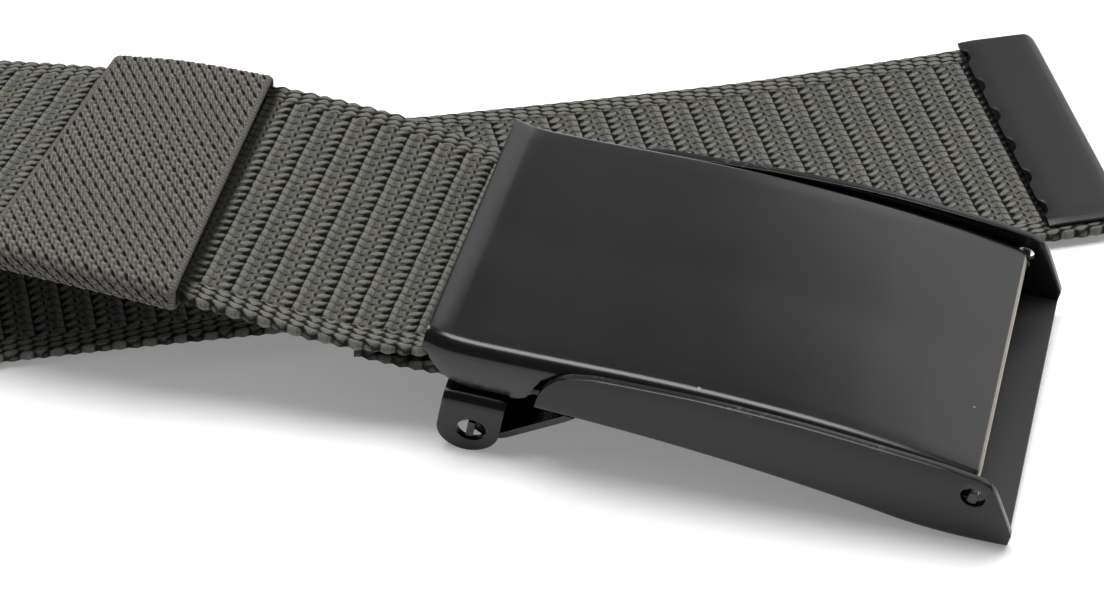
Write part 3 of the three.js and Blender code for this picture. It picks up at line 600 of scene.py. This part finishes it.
def catmull(x, xs, ys):
    """Smooth curve through the rows of ys at xs."""
    i = np.clip(np.searchsorted(xs, x) - 1, 0, len(xs) - 2)
    i0, i3 = np.maximum(i - 1, 0), np.minimum(i + 2, len(xs) - 1)
    h = (xs[i + 1] - xs[i])[:, None]
    t = ((x - xs[i])[:, None]) / h
    m1 = (ys[i + 1] - ys[i0]) / (xs[i + 1] - xs[i0])[:, None] * h
    m2 = (ys[i3] - ys[i]) / (xs[i3] - xs[i])[:, None] * h
    return ((2 * t ** 3 - 3 * t ** 2 + 1) * ys[i] + (t ** 3 - 2 * t ** 2 + t) * m1
            + (-2 * t ** 3 + 3 * t ** 2) * ys[i + 1] + (t ** 3 - t ** 2) * m2)


def strap_at(s):
    L, P, W, N, H = STATIONS
    s = np.asarray(s, float)
    p, w, n = catmull(s, L, P), unit(catmull(s, L, W)), unit(catmull(s, L, N))
    n = unit(n - w * (n * w).sum(1)[:, None])
    # the free end's run drifts a little away from the viewer before the crossing
    k = L[-1] - s
    drift = 3.9 * (smooth(k / 150) ** 1.55) * smooth((300 - k) / 120)
    p = p - w * drift[:, None]
    # and the webbing spreads where the tip is crimped on it
    half = np.interp(s, L, H) + 0.32 * smooth((s + 1) / 8) + 0.35 * smooth((16 - k) / 8)
    return p, w, n, half


# ------------------------------------------------------------------ strap mesh
# (from, to, spacing along the strap, spacing across its upper face or None for the few
# points that every ring has): finest where the weave is seen from near
ZONES = [
    (S_START, -3.0, RIB / 4, None), (-3.0, 35.5, RIB / 16, 0.25), (35.5, 58.0, RIB / 4, None),
    (58.0, 100.0, RIB / 11, 0.36), (100.0, S_END, RIB / 4, None),
]
RING = [18.90, 18.62, 17.99, 17.56, 17.13, 16.70, 16.27, 10.6, 5.3, 0.0]


def strap_rings():
    few = np.array(RING + [-v for v in RING[:-1]][::-1])
    rows = []
    for k, (a, b, ds, dv) in enumerate(ZONES):
        top = few
        if dv:
            top = np.concatenate([np.linspace(p, q, max(1, round((p - q) / dv)) + 1)[:-1] for p, q in zip(few[:-1], few[1:])] + [few[-1:]])
        last = k == len(ZONES) - 1
        n = max(2, round((b - a) / ds))
        rows += [(s, top, bool(dv), (a, b)) for s in np.linspace(a, b, n + 1)[: None if last else -1]]
    return few, rows


STRAP_NODES = ("webbing_strap", "webbing_strap_side", "webbing_strap_bend", "webbing_strap_return", "webbing_strap_tail")


def strap_mesh():
    few, rows = strap_rings()
    P, W, N, H = strap_at(np.array([r[0] for r in rows]))
    verts, attrs = [], []
    for i, (s, top, fine, (a, b)) in enumerate(rows):
        v = np.concatenate([top, [-19.0], few[::-1], [19.0]])
        side = np.concatenate([np.ones(len(top)), [0.0], -np.ones(len(few)), [0.0]])
        p = (RIB_AT - s - Plain.step(s, 300.0, 800.0, SLANT_NEAR, SLANT_TAIL) * v) / RIB
        p = p - np.floor(p)
        # coarse relief: the raised blocks, the hollow of the floats, the edge stitches
        rib = 0.16 * np.exp(-((p - 0.555) / 0.11) ** 2) - 0.15 * np.exp(-((p - 0.30) / 0.12) ** 2)
        inner = 1 - np.clip((np.abs(v) - EDGE_IN + 0.2) / 0.5, 0, 1)
        wave = 0.06 * np.cos(2 * np.pi * (2 * p - 0.6))
        high = rib * inner + wave * (1 - inner)
        fade = float(smooth((s - a) / 1.5) * smooth((b - s) / 1.5)) if fine else 0.0
        if fade:
            full = 0.36 * (weave_numbers(np.full(len(v), s), v, Plain)[0] - 0.48)
            high = np.where(side > 0, high * (1 - fade) + full * fade, high)
        near = np.clip((np.abs(v) - 18.35) / 0.65, 0, 1)
        z = side * ((0.68 + 0.14 * (1 - inner)) * np.sqrt(np.clip(1 - near ** 4, 0, 1)) + high * (1 - 0.5 * near))
        y = v * (H[i] + 0.13 * np.cos(2 * np.pi * (2 * p - 0.6))) / 19.0
        verts.append(P[i] + y[:, None] * W[i] + z[:, None] * N[i])
        attrs.append(np.stack([np.full(len(v), s), v, np.where(side > 0, 1 - 0.75 * fade, 1.0)], 1))
    starts = np.concatenate([[0], np.cumsum([len(v) for v in verts])])
    faces = []
    for i in range(len(rows) - 1):
        a, b = starts[i], starts[i + 1]
        ta, tb = rows[i][1], rows[i + 1][1]
        na, nb = len(verts[i]), len(verts[i + 1])
        if len(ta) == len(tb):
            faces += [(a + k, a + (k + 1) % na, b + (k + 1) % na, b + k) for k in range(na)]
            continue
        ia = [int(np.argmin(np.abs(ta - c))) for c in few]
        ib = [int(np.argmin(np.abs(tb - c))) for c in few]
        for k in range(len(few) - 1):
            faces.append(tuple([a + q for q in range(ia[k], ia[k + 1] + 1)] + [b + q for q in range(ib[k + 1], ib[k] - 1, -1)]))
        for k in range(na - len(ta) + 1):
            ka, kb = len(ta) - 1 + k, len(tb) - 1 + k
            faces.append((a + ka, a + (ka + 1) % na, b + (kb + 1) % nb, b + kb))
    faces.append(tuple(range(len(verts[0]) - 1, -1, -1)))
    faces.append(tuple(range(starts[-2], starts[-1])))
    ob = make("webbing_strap_woven", to_row(np.concatenate(verts)), faces, "belt", STRAP_NODES, materials=[MAT["webbing"]])
    attribute(ob, "cloth", np.concatenate(attrs))
    face_out(ob)
    return ob


# ------------------------------------------------------------------ keeper mesh
def keeper_mesh():
    ds, dp = 0.26, 0.26
    ss = np.linspace(KEEPER_S0, KEEPER_S1, round((KEEPER_S1 - KEEPER_S0) / ds) + 1)
    a0, b0 = STRAP_W / 2 + GAP, STRAP_T / 2 + GAP

    def outline(grow, step):
        """Rounded-rectangle points of the section and the distance round it."""
        a, b = a0 + grow, b0 + grow
        r = min(b - 0.02, 0.35 + grow)
        pts = []
        for sx, sy, d0 in ((1, 1, 0), (-1, 1, 90), (-1, -1, 180), (1, -1, 270)):
            for k in range(9):
                q = math.radians(d0 + k * 90 / 8)
                pts.append((sx * (a - r) + r * math.cos(q), sy * (b - r) + r * math.sin(q)))
        pts = np.array(pts + [pts[0]])
        L = np.concatenate([[0], np.cumsum(np.linalg.norm(np.diff(pts, axis=0), axis=1))])
        m = round(L[-1] / step)
        x = np.arange(m) * L[-1] / m
        return np.stack([np.interp(x, L, pts[:, 0]), np.interp(x, L, pts[:, 1])], 1), x

    out, x = outline(KEEPER_WALL - 0.22, dp)
    x = -x
    m = len(out)
    nrm = np.roll(out, -1, 0) - np.roll(out, 1, 0)
    nrm = unit(np.stack([nrm[:, 1], -nrm[:, 0]], 1))
    if ((out * nrm).sum(1)).mean() < 0:
        nrm = -nrm
    inn = out - nrm * (KEEPER_WALL - 0.26)

    def at(s, pts):
        """Points of the section at s; the band is pulled askew towards its left edge."""
        far = (s - KEEPER_S0) / (KEEPER_S1 - KEEPER_S0)
        q = s - far * (0.075 * pts[:, 0] + 0.1)
        p, w, n, _ = strap_at(q)
        y = pts[:, :1] * (1 + 0.042 * float(smooth(far / 0.7)) * (pts[:, :1] > 0))
        return p + y * w + pts[:, 1:] * n

    rows = []
    n_s = len(ss)
    for i, s in enumerate(ss):
        from_end = min(s - KEEPER_S0, KEEPER_S1 - s)
        band = 1 - float(smooth((from_end - 0.55) / 0.3))
        knit = knit_numbers(np.full(m, s), x, Plain)
        h = (knit - 0.62) * 0.30 * (1 - band) + band * (0.02 + 0.03 * np.cos(2 * np.pi * x / 0.52))
        roll = -0.30 * math.exp(-(from_end / 0.28) ** 2)     # the selvedge rounds off
        pts = out + nrm * (h + roll)[:, None]
        rows.append((at(s, pts), np.stack([np.full(m, s), x, np.full(m, band)], 1)))
    for i in (n_s - 1, n_s // 2, 0):
        rows.append((at(ss[i], inn), np.stack([np.full(m, ss[i]), x, np.full(m, 1.0)], 1)))
    verts = to_row(np.concatenate([r[0] for r in rows]))
    faces = loft_faces(len(rows), m, closed_along=True)
    ob = make("elastic_keeper_knit", verts, faces, "belt", "elastic_keeper", materials=[MAT["elastic"]])
    attribute(ob, "cloth", np.concatenate([r[1] for r in rows]))
    face_out(ob)
    return ob


# ------------------------------------------------------------------ buckle
def u_samples(lo, hi, step, *tables):
    u = list(np.linspace(lo, hi, max(2, round((hi - lo) / step) + 1)))
    for t in tables:
        rows = t[(t[:, 0] > lo) & (t[:, 0] < hi)]
        u += list(rows[:, 0])
    u = np.unique(np.round(u, 3))
    keep = [u[0]]
    for x in u[1:]:
        if x - keep[-1] > 0.12:
            keep.append(x)
    return np.array(keep)


def flange_low(u):
    top = table(COVER_TOP, u)
    return np.minimum(table(FLANGE, u) + np.where(u > -57, top - table(COVER_TOP, -57.0), 0), top - SHEET)


def cover_mesh():
    end_r = 0.6
    us = list(u_samples(-74.0, COVER_RIGHT - 1.9, 0.9, FLANGE)) + [COVER_RIGHT - d for d in (1.6, 1.3, 1.05, 0.8, 0.6, 0.5, 0.4, 0.3, 0.2, 0.12, 0.06, 0.02, 0.0)]
    rn, rf, h = COVER_ROLL, 1.15, COVER_HALF
    ang = np.linspace(0, np.pi / 2, 13)
    rings, edge, raws = [], [], []
    for u in us:
        t = float(round_table(COVER_TOP, np.array([u]), 1.2 if u > -71 else 0.3)[0])
        # corners rounded in plan, the right end's upper corner rounded too
        hn, hf = (h - c + math.sqrt(max(c * c - max(0.0, u - COVER_RIGHT + c) ** 2, 0.0)) for c in (1.1, 1.8))
        k = max(0.0, u - COVER_RIGHT + end_r)
        top = t - (end_r - math.sqrt(max(end_r * end_r - k * k, 0.0)))
        f = float(flange_low(np.array([u]))[0])
        fn, ff = min(f, t - rn - 0.06), min(f, t - rf - 0.06)
        across = np.linspace(-(hn - rn), hf - rf, 21)[1:-1]

        def up(v):
            return 0.28 * max(0.0, v / h) + 0.10 * (1 - (v / h) ** 2)

        ring, e = [(u, -hn, fn)], [1]
        for a in ang:
            v = -(hn - rn) - rn * math.cos(a)
            ring.append((u, v, top - rn + rn * math.sin(a) + up(v))); e.append(0)
        for v in across:
            ring.append((u, v, top + up(v))); e.append(0)
        for a in ang[::-1]:
            v = (hf - rf) + rf * math.cos(a)
            ring.append((u, v, top - rf + rf * math.sin(a) + up(v))); e.append(0)
        ring += [(u, hf, ff), (u, hf - SHEET, ff)]; e += [1, 1]
        for a in ang:
            v = (hf - rf) + (rf - SHEET) * math.cos(a)
            ring.append((u, v, t - rf + (rf - SHEET) * math.sin(a) + up(v))); e.append(0)
        for v in across[::-1]:
            ring.append((u, v, t - SHEET + up(v))); e.append(0)
        for a in ang[::-1]:
            v = -(hn - rn) - (rn - SHEET) * math.cos(a)
            ring.append((u, v, t - rn + (rn - SHEET) * math.sin(a) + up(v))); e.append(0)
        ring.append((u, -hn + SHEET, fn)); e.append(1)
        rings.append(ring)
        edge.append(np.maximum(np.array(e), 1.0 if u < -73.95 else 0.0))
        raws.append(np.full(len(e), float(smooth((k / end_r - 0.10) / 0.25))))
    n = len(rings[0])
    pts = np.array([p for r in rings for p in r])
    # the fold's left edge runs a little askew
    pts[:, 0] += 1.0 * smooth((-65 - pts[:, 0]) / 9) * (pts[:, 1] + h) / (2 * h)
    verts = from_buckle(pts)
    ob = make("cover_pressed", verts, loft_faces(len(rings), n), "cover", "cover", materials=[MAT["cover"]])
    attribute(ob, "edge", np.concatenate(edge))
    attribute(ob, "raw", np.concatenate(raws))
    face_out(ob)
    bevel(ob, 0.00012, 2, 60)
    apply_modifiers(ob)
    sharp_by_angle(ob, 40)
    # lugs under the fold and the tenons that turn in the walls
    pu, pw = PIVOT
    for s in (-1, 1):
        outline = [(pu - 5.0, pw), (pu - 3.4, pw - 1.2), (pu - 1.6, pw - 1.7), (pu, pw - 1.75), (pu + 0.7, pw - 1.4), (pu + 0.9, pw - 0.6), (pu + 0.5, pw + 0.2), (pu - 0.4, pw + 0.45), (pu - 2.5, pw + 0.45)]
        lug = prism("cover_lug_%s" % ("near" if s < 0 else "far"), outline, *(sorted((s * (COVER_HALF - 0.04), s * (COVER_HALF - SHEET + 0.04)))), body="cover", slot="cover_coating", mat="cover")
        bevel(lug, 0.00012, 2, 50)
        apply_modifiers(lug)
        tenon_mesh("cover_tenon_%s" % ("near" if s < 0 else "far"), pu, pw, s)
    return ob


def prism(name, outline, v0, v1, body, slot, mat):
    n = len(outline)
    pts = [(u, v, w) for v in (v0, v1) for u, w in outline]
    faces = [tuple(range(n)), tuple(range(2 * n - 1, n - 1, -1))] + [(i, (i + 1) % n, n + (i + 1) % n, n + i) for i in range(n)]
    ob = make(name, from_buckle(np.array(pts)), faces, body, None, smooth_faces=False, materials=[MAT[mat]])
    attribute(ob, "edge", np.ones(2 * n) * 0.5)
    face_out(ob)
    return ob


def tenon_mesh(name, pu, pw, s):
    """A sheet tongue of the cover, its round end showing in the wall's hole."""
    r = 0.58
    top = [(pu + 0.05 + r * math.cos(a), pw + 0.05 + r * math.sin(a)) for a in np.linspace(0, np.pi, 11)]
    low = 1.1 if s < 0 else 0.8
    sec = [(pu + 0.05 + r, pw - low)] + top + [(pu + 0.05 - r, pw - low), (pu + 0.05, pw - low - 0.2)]
    v0, v1 = s * (COVER_HALF - 0.3), s * 20.95
    ob = prism(name, sec, min(v0, v1), max(v0, v1), "cover", "cover_coating", "pin")
    bevel(ob, 0.00010, 2, 50)
    apply_modifiers(ob)
    return ob


def far_drop(u):
    return 1.4 * smooth((-17 - np.asarray(u, float)) / 34)


def base_mesh():
    us = np.concatenate([u_samples(TRAY_LEFT, -0.9, 1.0, WALL_TOP), [-0.45, -0.12, 0.0]])
    R = 1.1
    o, i_, r = TRAY_HALF, TRAY_HALF - WALL_T, R - WALL_T
    ang = np.linspace(0, np.pi / 2, 9)
    rings, edge = [], []
    for u in us:
        b = float(plate_low(max(u, TRAY_LEFT)))
        t = max(float(table(WALL_TOP, u)), b + R + 0.1)
        # the far wall is a little lower towards the left
        tf = max(t - float(far_drop(u)), b + R + 0.1)
        ring, e = [(u, -o, t)], [1]
        for w in np.linspace(t, b + R, 5)[1:-1]:
            ring.append((u, -o, w)); e.append(0)
        for a in ang:
            ring.append((u, -(o - R + R * math.cos(a)), b + R - R * math.sin(a))); e.append(0)
        for a in ang[::-1]:
            ring.append((u, o - R + R * math.cos(a), b + R - R * math.sin(a))); e.append(0)
        for w in np.linspace(b + R, tf, 5)[1:-1]:
            ring.append((u, o, w)); e.append(0)
        ring += [(u, o, tf), (u, i_, tf)]; e += [1, 1]
        for w in np.linspace(tf, b + SHEET + r, 5)[1:-1]:
            ring.append((u, i_, w)); e.append(0)
        for a in ang:
            ring.append((u, i_ - r + r * math.cos(a), b + SHEET + r - r * math.sin(a))); e.append(0)
        for a in ang[::-1]:
            ring.append((u, -(i_ - r + r * math.cos(a)), b + SHEET + r - r * math.sin(a))); e.append(0)
        for w in np.linspace(b + SHEET + r, t, 5)[1:-1]:
            ring.append((u, -i_, w)); e.append(0)
        ring.append((u, -i_, t)); e.append(1)
        rings.append(ring)
        edge.append(np.maximum(np.array(e), 1.0 if u > -0.05 or u < TRAY_LEFT + 0.05 else 0.0))
    n = len(rings[0])
    tray = make("base_tray", np.array([p for q in rings for p in q]), loft_faces(len(rings), n), "belt", "base_frame", materials=[MAT["frame"]])
    attribute(tray, "edge", np.concatenate(edge))
    face_out(tray)

    # strap end of the plate, with the ears bent down from it
    top = -LEFT_DROP + SHEET
    us = np.linspace(PLATE_LEFT, TRAY_LEFT + 0.4, 40)
    pr = [(u, float(plate_low(min(u, TRAY_LEFT - 1e-6))) if u < TRAY_LEFT else 0.0) for u in us]
    prof = [(u, w + SHEET) for u, w in pr] + [(u, w) for u, w in pr[::-1]]
    tongue = prism_plain("tongue", prof, -18.5, 18.5)
    er, ec = (EAR["u1"] - EAR["u0"]) / 2, (EAR["u0"] + EAR["u1"]) / 2
    parts = [tongue]
    for s in (-1, 1):
        # the sheet's path: flat, round the bend and down the ear; u runs across it
        path = [(s * 17.0, top - SHEET / 2, 0)]
        q = BEND_R - SHEET / 2
        for a in np.linspace(0, np.pi / 2, 9):
            path.append((s * (TRAY_HALF - BEND_R + q * math.sin(a)), top - BEND_R + q * math.cos(a), a))
        low = EAR["low"]
        rows = []
        for v, w, a in path:
            rows.append((v, w, a, EAR["u0"], EAR["u1"]))
        for w in np.linspace(top - BEND_R - 0.6, low + er, 6):
            rows.append((s * (TRAY_HALF - SHEET / 2), w, np.pi / 2, EAR["u0"], EAR["u1"]))
        for b in np.linspace(0, np.pi / 2, 14)[1:]:
            w = low + er - er * math.sin(b)
            c = max(er * math.cos(b), 0.02)
            rows.append((s * (TRAY_HALF - SHEET / 2), w, np.pi / 2, ec - c, ec + c))
        verts, k = [], 9
        for v, w, a, u0, u1 in rows:
            nv, nw = s * math.sin(a), math.cos(a)
            for sgn in (1, -1):
                for u in np.linspace(u0, u1, k)[:: 1 if sgn > 0 else -1]:
                    verts.append((u, v + sgn * nv * SHEET / 2, w + sgn * nw * SHEET / 2))
        ear = make("ear_part", np.array(verts), loft_faces(len(rows), 2 * k), "belt", materials=[MAT["frame"]])
        face_out(ear)
        parts.append(ear)
    for p in parts:
        join_solid(tray, p, "UNION")
    for s in (-1, 1):
        for (cu, cw, cr) in ((PIVOT[0], PIVOT[1], 1.55 if s < 0 else 1.2), (EAR["hole_u"] + 0.1, EAR["hole_w"], 1.9)):
            ring = [(cu + cr * math.cos(x), cw + cr * math.sin(x)) for x in np.linspace(0, 2 * np.pi, 41)[:-1]]
            join_solid(tray, prism_plain("hole", ring, min(s * 19.5, s * 22), max(s * 19.5, s * 22)), "DIFFERENCE")
    win = [(-56.2, -1.2), (-50.6, -1.2), (-50.6, 3), (-56.2, 3)]
    join_solid(tray, prism_plain("window", win, -16.5, 16.5), "DIFFERENCE")
    # into place, bowed
    co = np.zeros(len(tray.data.vertices) * 3)
    tray.data.vertices.foreach_get("co", co)
    co = co.reshape(-1, 3)
    mark_base_edges(tray, co)
    tray.data.vertices.foreach_set("co", from_buckle(co).astype(np.float32).ravel())
    tray.data.update()
    tray.data.polygons.foreach_set("use_smooth", [True] * len(tray.data.polygons))
    bevel(tray, 0.00014, 2, 50)
    apply_modifiers(tray)
    sharp_by_angle(tray, 40)
    tray.name = "base_frame_pressed"
    return tray


def mark_base_edges(ob, co):
    u, v, w = co[:, 0], co[:, 1], co[:, 2]
    top = np.interp(u, WALL_TOP[:, 0], WALL_TOP[:, 1])
    top = top - np.where(v > 0, far_drop(u), 0)
    on_top = (np.abs(w - top) < 0.03) & (np.abs(v) > TRAY_HALF - WALL_T - 0.02) & (u >= TRAY_LEFT - 0.01)
    right = u > -0.02
    left = u < PLATE_LEFT + 0.02
    e = (on_top | right | left) * 1.0
    if "edge" in ob.data.attributes:
        ob.data.attributes.remove(ob.data.attributes["edge"])
    attribute(ob, "edge", e)
    attribute(ob, "raw", (u > -0.02) * 0.55)
    # pale: the pressed tray floor near the right end, where a painted reflection lightens the coating's colour
    lift = w - plate_low(np.maximum(u, TRAY_LEFT))
    floor_top = (np.abs(v) < TRAY_HALF - 1.05) & (np.abs(lift - SHEET) < 0.06) & (u > -16)
    attribute(ob, "pale", floor_top * smooth((u + 12) / 5))


def prism_plain(name, outline, v0, v1):
    n = len(outline)
    pts = [(u, v, w) for v in (v0, v1) for u, w in outline]
    faces = [tuple(range(n)), tuple(range(2 * n - 1, n - 1, -1))] + [(i, (i + 1) % n, n + (i + 1) % n, n + i) for i in range(n)]
    ob = make(name, np.array(pts), faces, "belt", materials=[MAT["frame"]])
    face_out(ob)
    return ob


def join_solid(ob, other, op):
    m = ob.modifiers.new("b", "BOOLEAN")
    m.operation, m.object, m.solver = op, other, "EXACT"
    apply_modifiers(ob)
    bpy.data.objects.remove(other)


# ------------------------------------------------------------------ tip
def tip_place():
    P = STATIONS[1][-1].copy()
    d = unit(STATIONS[1][-1] - STATIONS[1][-2]) * np.array([1, 1, 0])
    d = unit(d)
    side = np.array([-d[1], d[0], 0.0])
    P[2] = 0
    return P - d * STRAP_IN_TIP, d, side


def tip_mesh():
    p0, d, side = tip_place()
    t1, near, far, sheet, high, skew = (TIP[k] for k in ("t1", "near", "far", "sheet", "high", "skew"))
    r = high / 2 - sheet / 2
    line = [(0.8, sheet / 2)] + [(x, sheet / 2) for x in np.linspace(2.5, t1 - high / 2, 6)]
    line += [(t1 - high / 2 + r * math.sin(a), high / 2 - r * math.cos(a)) for a in np.linspace(0, np.pi, 17)[1:-1]]
    line += [(x, high - sheet / 2) for x in np.linspace(t1 - high / 2, 2.5, 6)]
    # the upper leaf's edge is bent down to bite the webbing
    line += [(1.6, high - sheet / 2 - 0.03), (0.8, high - sheet / 2 - 0.10), (0.0, high - sheet / 2 - 0.2)]
    line = np.array(line)
    tan = unit(np.gradient(line, axis=0))
    nrm = np.stack([-tan[:, 1], tan[:, 0]], 1)
    c = 2.0

    def reach(t, lower):
        """(near, far) ends of the leaf at local t, with the corners rounded."""
        k = max(0.0, t - (t1 - c))
        cut = c - math.sqrt(max(c * c - k * k, 0.0))
        # the lower leaf is shorter, so that the webbing shows under the upper one's ends
        return (near + 2.4 if lower else near + 1.0) + cut, far - cut - (0.9 if lower else 0.0)

    m = 121
    verts = []
    for (t, z), nn in zip(line, nrm):
        low = float(smooth((high / 2 + 0.5 - z) / 1.0))
        a0, b0 = reach(min(t, t1 - 0.02), False)
        a1, b1 = reach(min(t, t1 - 0.02), True)
        a, b = a0 + (a1 - a0) * low, b0 + (b1 - b0) * low
        ys = np.linspace(a, b, m)
        for sgn in (1, -1):
            for y in (ys if sgn > 0 else ys[::-1]):
                tt, zz = t, z
                if z > high / 2:
                    # crimp notches bite the upper leaf's edge, and its ends droop a little
                    gap = min(abs(y - q) for q in TIP["notches"])
                    bite = math.exp(-(gap / 1.25) ** 4)
                    tt += 0.8 * max(0.0, 1 - t / 1.6) * bite
                    zz -= 0.22 * math.exp(-((y - a) / 0.6) ** 2) + 0.12 * math.exp(-((b - y) / 0.7) ** 2)
                    # a shallow crease along the near end
                    zz -= 0.10 * math.exp(-((y - a - 1.9) / 0.35) ** 2)
                verts.append(p0 + d * (tt + sgn * nn[0] * sheet / 2 + skew * y) + side * y + np.array([0, 0, zz + sgn * nn[1] * sheet / 2]))
    ob = make("strap_tip_crimped", to_row(np.array(verts)), loft_faces(len(line), 2 * m), "belt", "strap_tip", materials=[MAT["tip"]])
    e = np.zeros(len(verts))
    e[: 2 * m] = 1
    e[-2 * m:] = 0.6
    attribute(ob, "edge", e)
    face_out(ob)
    bevel(ob, 0.00010, 2, 50)
    apply_modifiers(ob)
    sharp_by_angle(ob, 32)
    return ob


# ------------------------------------------------------------------ camera, floor, light
def place(x, y, z):
    return Vector(((x - ORIGIN[0]) / 1000, (y - ORIGIN[1]) / 1000, z / 1000))


def camera():
    cam = bpy.data.cameras.new("camera")
    ob = bpy.data.objects.new("camera", cam)
    bpy.context.scene.collection.objects.link(ob)
    right, up, fwd = Vector((0.99998, -0.00420, -0.00438)), Vector((0.00607, 0.69213, 0.72175)), Vector((0, 0.72176, -0.69214))
    right.normalize()
    up = right.cross(fwd).normalized()
    fwd = up.cross(right).normalized()
    m = Matrix((right, up, -fwd)).transposed().to_4x4()
    m.translation = place(0, -301.407, 289.039)
    ob.matrix_world = m
    cam.sensor_fit, cam.sensor_width, cam.lens = "HORIZONTAL", 36.0, 105.13
    cam.clip_start, cam.clip_end = 0.01, 20
    bpy.context.scene.camera = ob
    return ob


def floor():
    me = bpy.data.meshes.new("floor")
    s = 6.0
    me.from_pydata([(-s, -s, 0), (s, -s, 0), (s, s, 0), (-s, s, 0)], [], [(0, 1, 2, 3)])
    ob = bpy.data.objects.new("floor", me)
    bpy.context.scene.collection.objects.link(ob)
    n = Nodes("floor_paper", (0.9, 0.9, 0.9))
    p = n.position()
    g = n.noise(p, 3.0, 2.0, 0.5)
    n.t.links.new(n.colour(g, (0.86, 0.86, 0.86), (0.90, 0.90, 0.90)), n.bsdf.inputs["Base Color"])
    n.bsdf.inputs["Roughness"].default_value = 0.8
    n.bsdf.inputs["Specular IOR Level"].default_value = 0.2
    # a light table: a little light comes up through it
    n.bsdf.inputs["Emission Color"].default_value = (1, 1, 1, 1)
    n.bsdf.inputs["Emission Strength"].default_value = 0.215
    me.materials.append(n.mat)
    return ob


def area(name, at, to, size, power, size_y=None):
    la = bpy.data.lights.new(name, "AREA")
    la.shape, la.size, la.size_y, la.energy = "RECTANGLE", size, size_y or size, power
    ob = bpy.data.objects.new(name, la)
    bpy.context.scene.collection.objects.link(ob)
    ob.location = Vector(at)
    ob.rotation_euler = (Vector(to) - Vector(at)).to_track_quat("-Z", "Y").to_euler()
    return ob


def lights():
    w = bpy.data.worlds.new("studio")
    bpy.context.scene.world = w
    w.use_nodes = True
    bg = w.node_tree.nodes["Background"]
    bg.inputs[0].default_value = (1, 1, 1, 1)
    bg.inputs[1].default_value = 0.10
    to = (0.2, 0.0, 0.01)
    area("top_softbox", (0.12, 0.15, 1.1), (0.12, 0.0, 0.01), 0.95, 12.9, 0.46)
    area("back_panel", (0.0, 1.5, 0.85), to, 2.0, 6.1, 1.55)
    area("right_panel", (1.15, 0.95, 0.75), to, 1.25, 9.6)
    area("left_panel", (-1.2, 0.2, 0.9), to, 0.9, 3.0)
    bpy.context.scene.view_settings.view_transform = "Standard"
    bpy.context.scene.view_settings.look = "None"


# ------------------------------------------------------------------ build
camera()
floor()
lights()
MAT = {
    "webbing": webbing_material(),
    "elastic": elastic_material(),
    "cover": coated_metal("cover_coat", rough=0.215, wear=0.22),
    "frame": coated_metal("frame_coat", rough=0.24, wear=0.22, gloss=0.31),
    "lever": coated_metal("lever_coat", rough=0.28, wear=0.3),
    "pin": coated_metal("pin_coat", base=(0.012, 0.012, 0.012), rough=0.28, wear=0.6, specks=0.0),
    "tip": coated_metal("tip_coat", base=(0.0065, 0.0065, 0.0065), rough=0.36, wear=0.3, gloss=0.31),
}
strap_mesh()
keeper_mesh()
cover_mesh()
base_mesh()
tip_mesh()
for node, mat in (("clamp_lever", "lever"), ("strap_bar", "pin")):
    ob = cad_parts[node]
    ob.data.materials.clear()
    ob.data.materials.append(MAT[mat])
    m = ob.modifiers.new("edges", "BEVEL")
    m.width, m.segments, m.limit_method, m.angle_limit = 0.0001, 2, "ANGLE", math.radians(40)
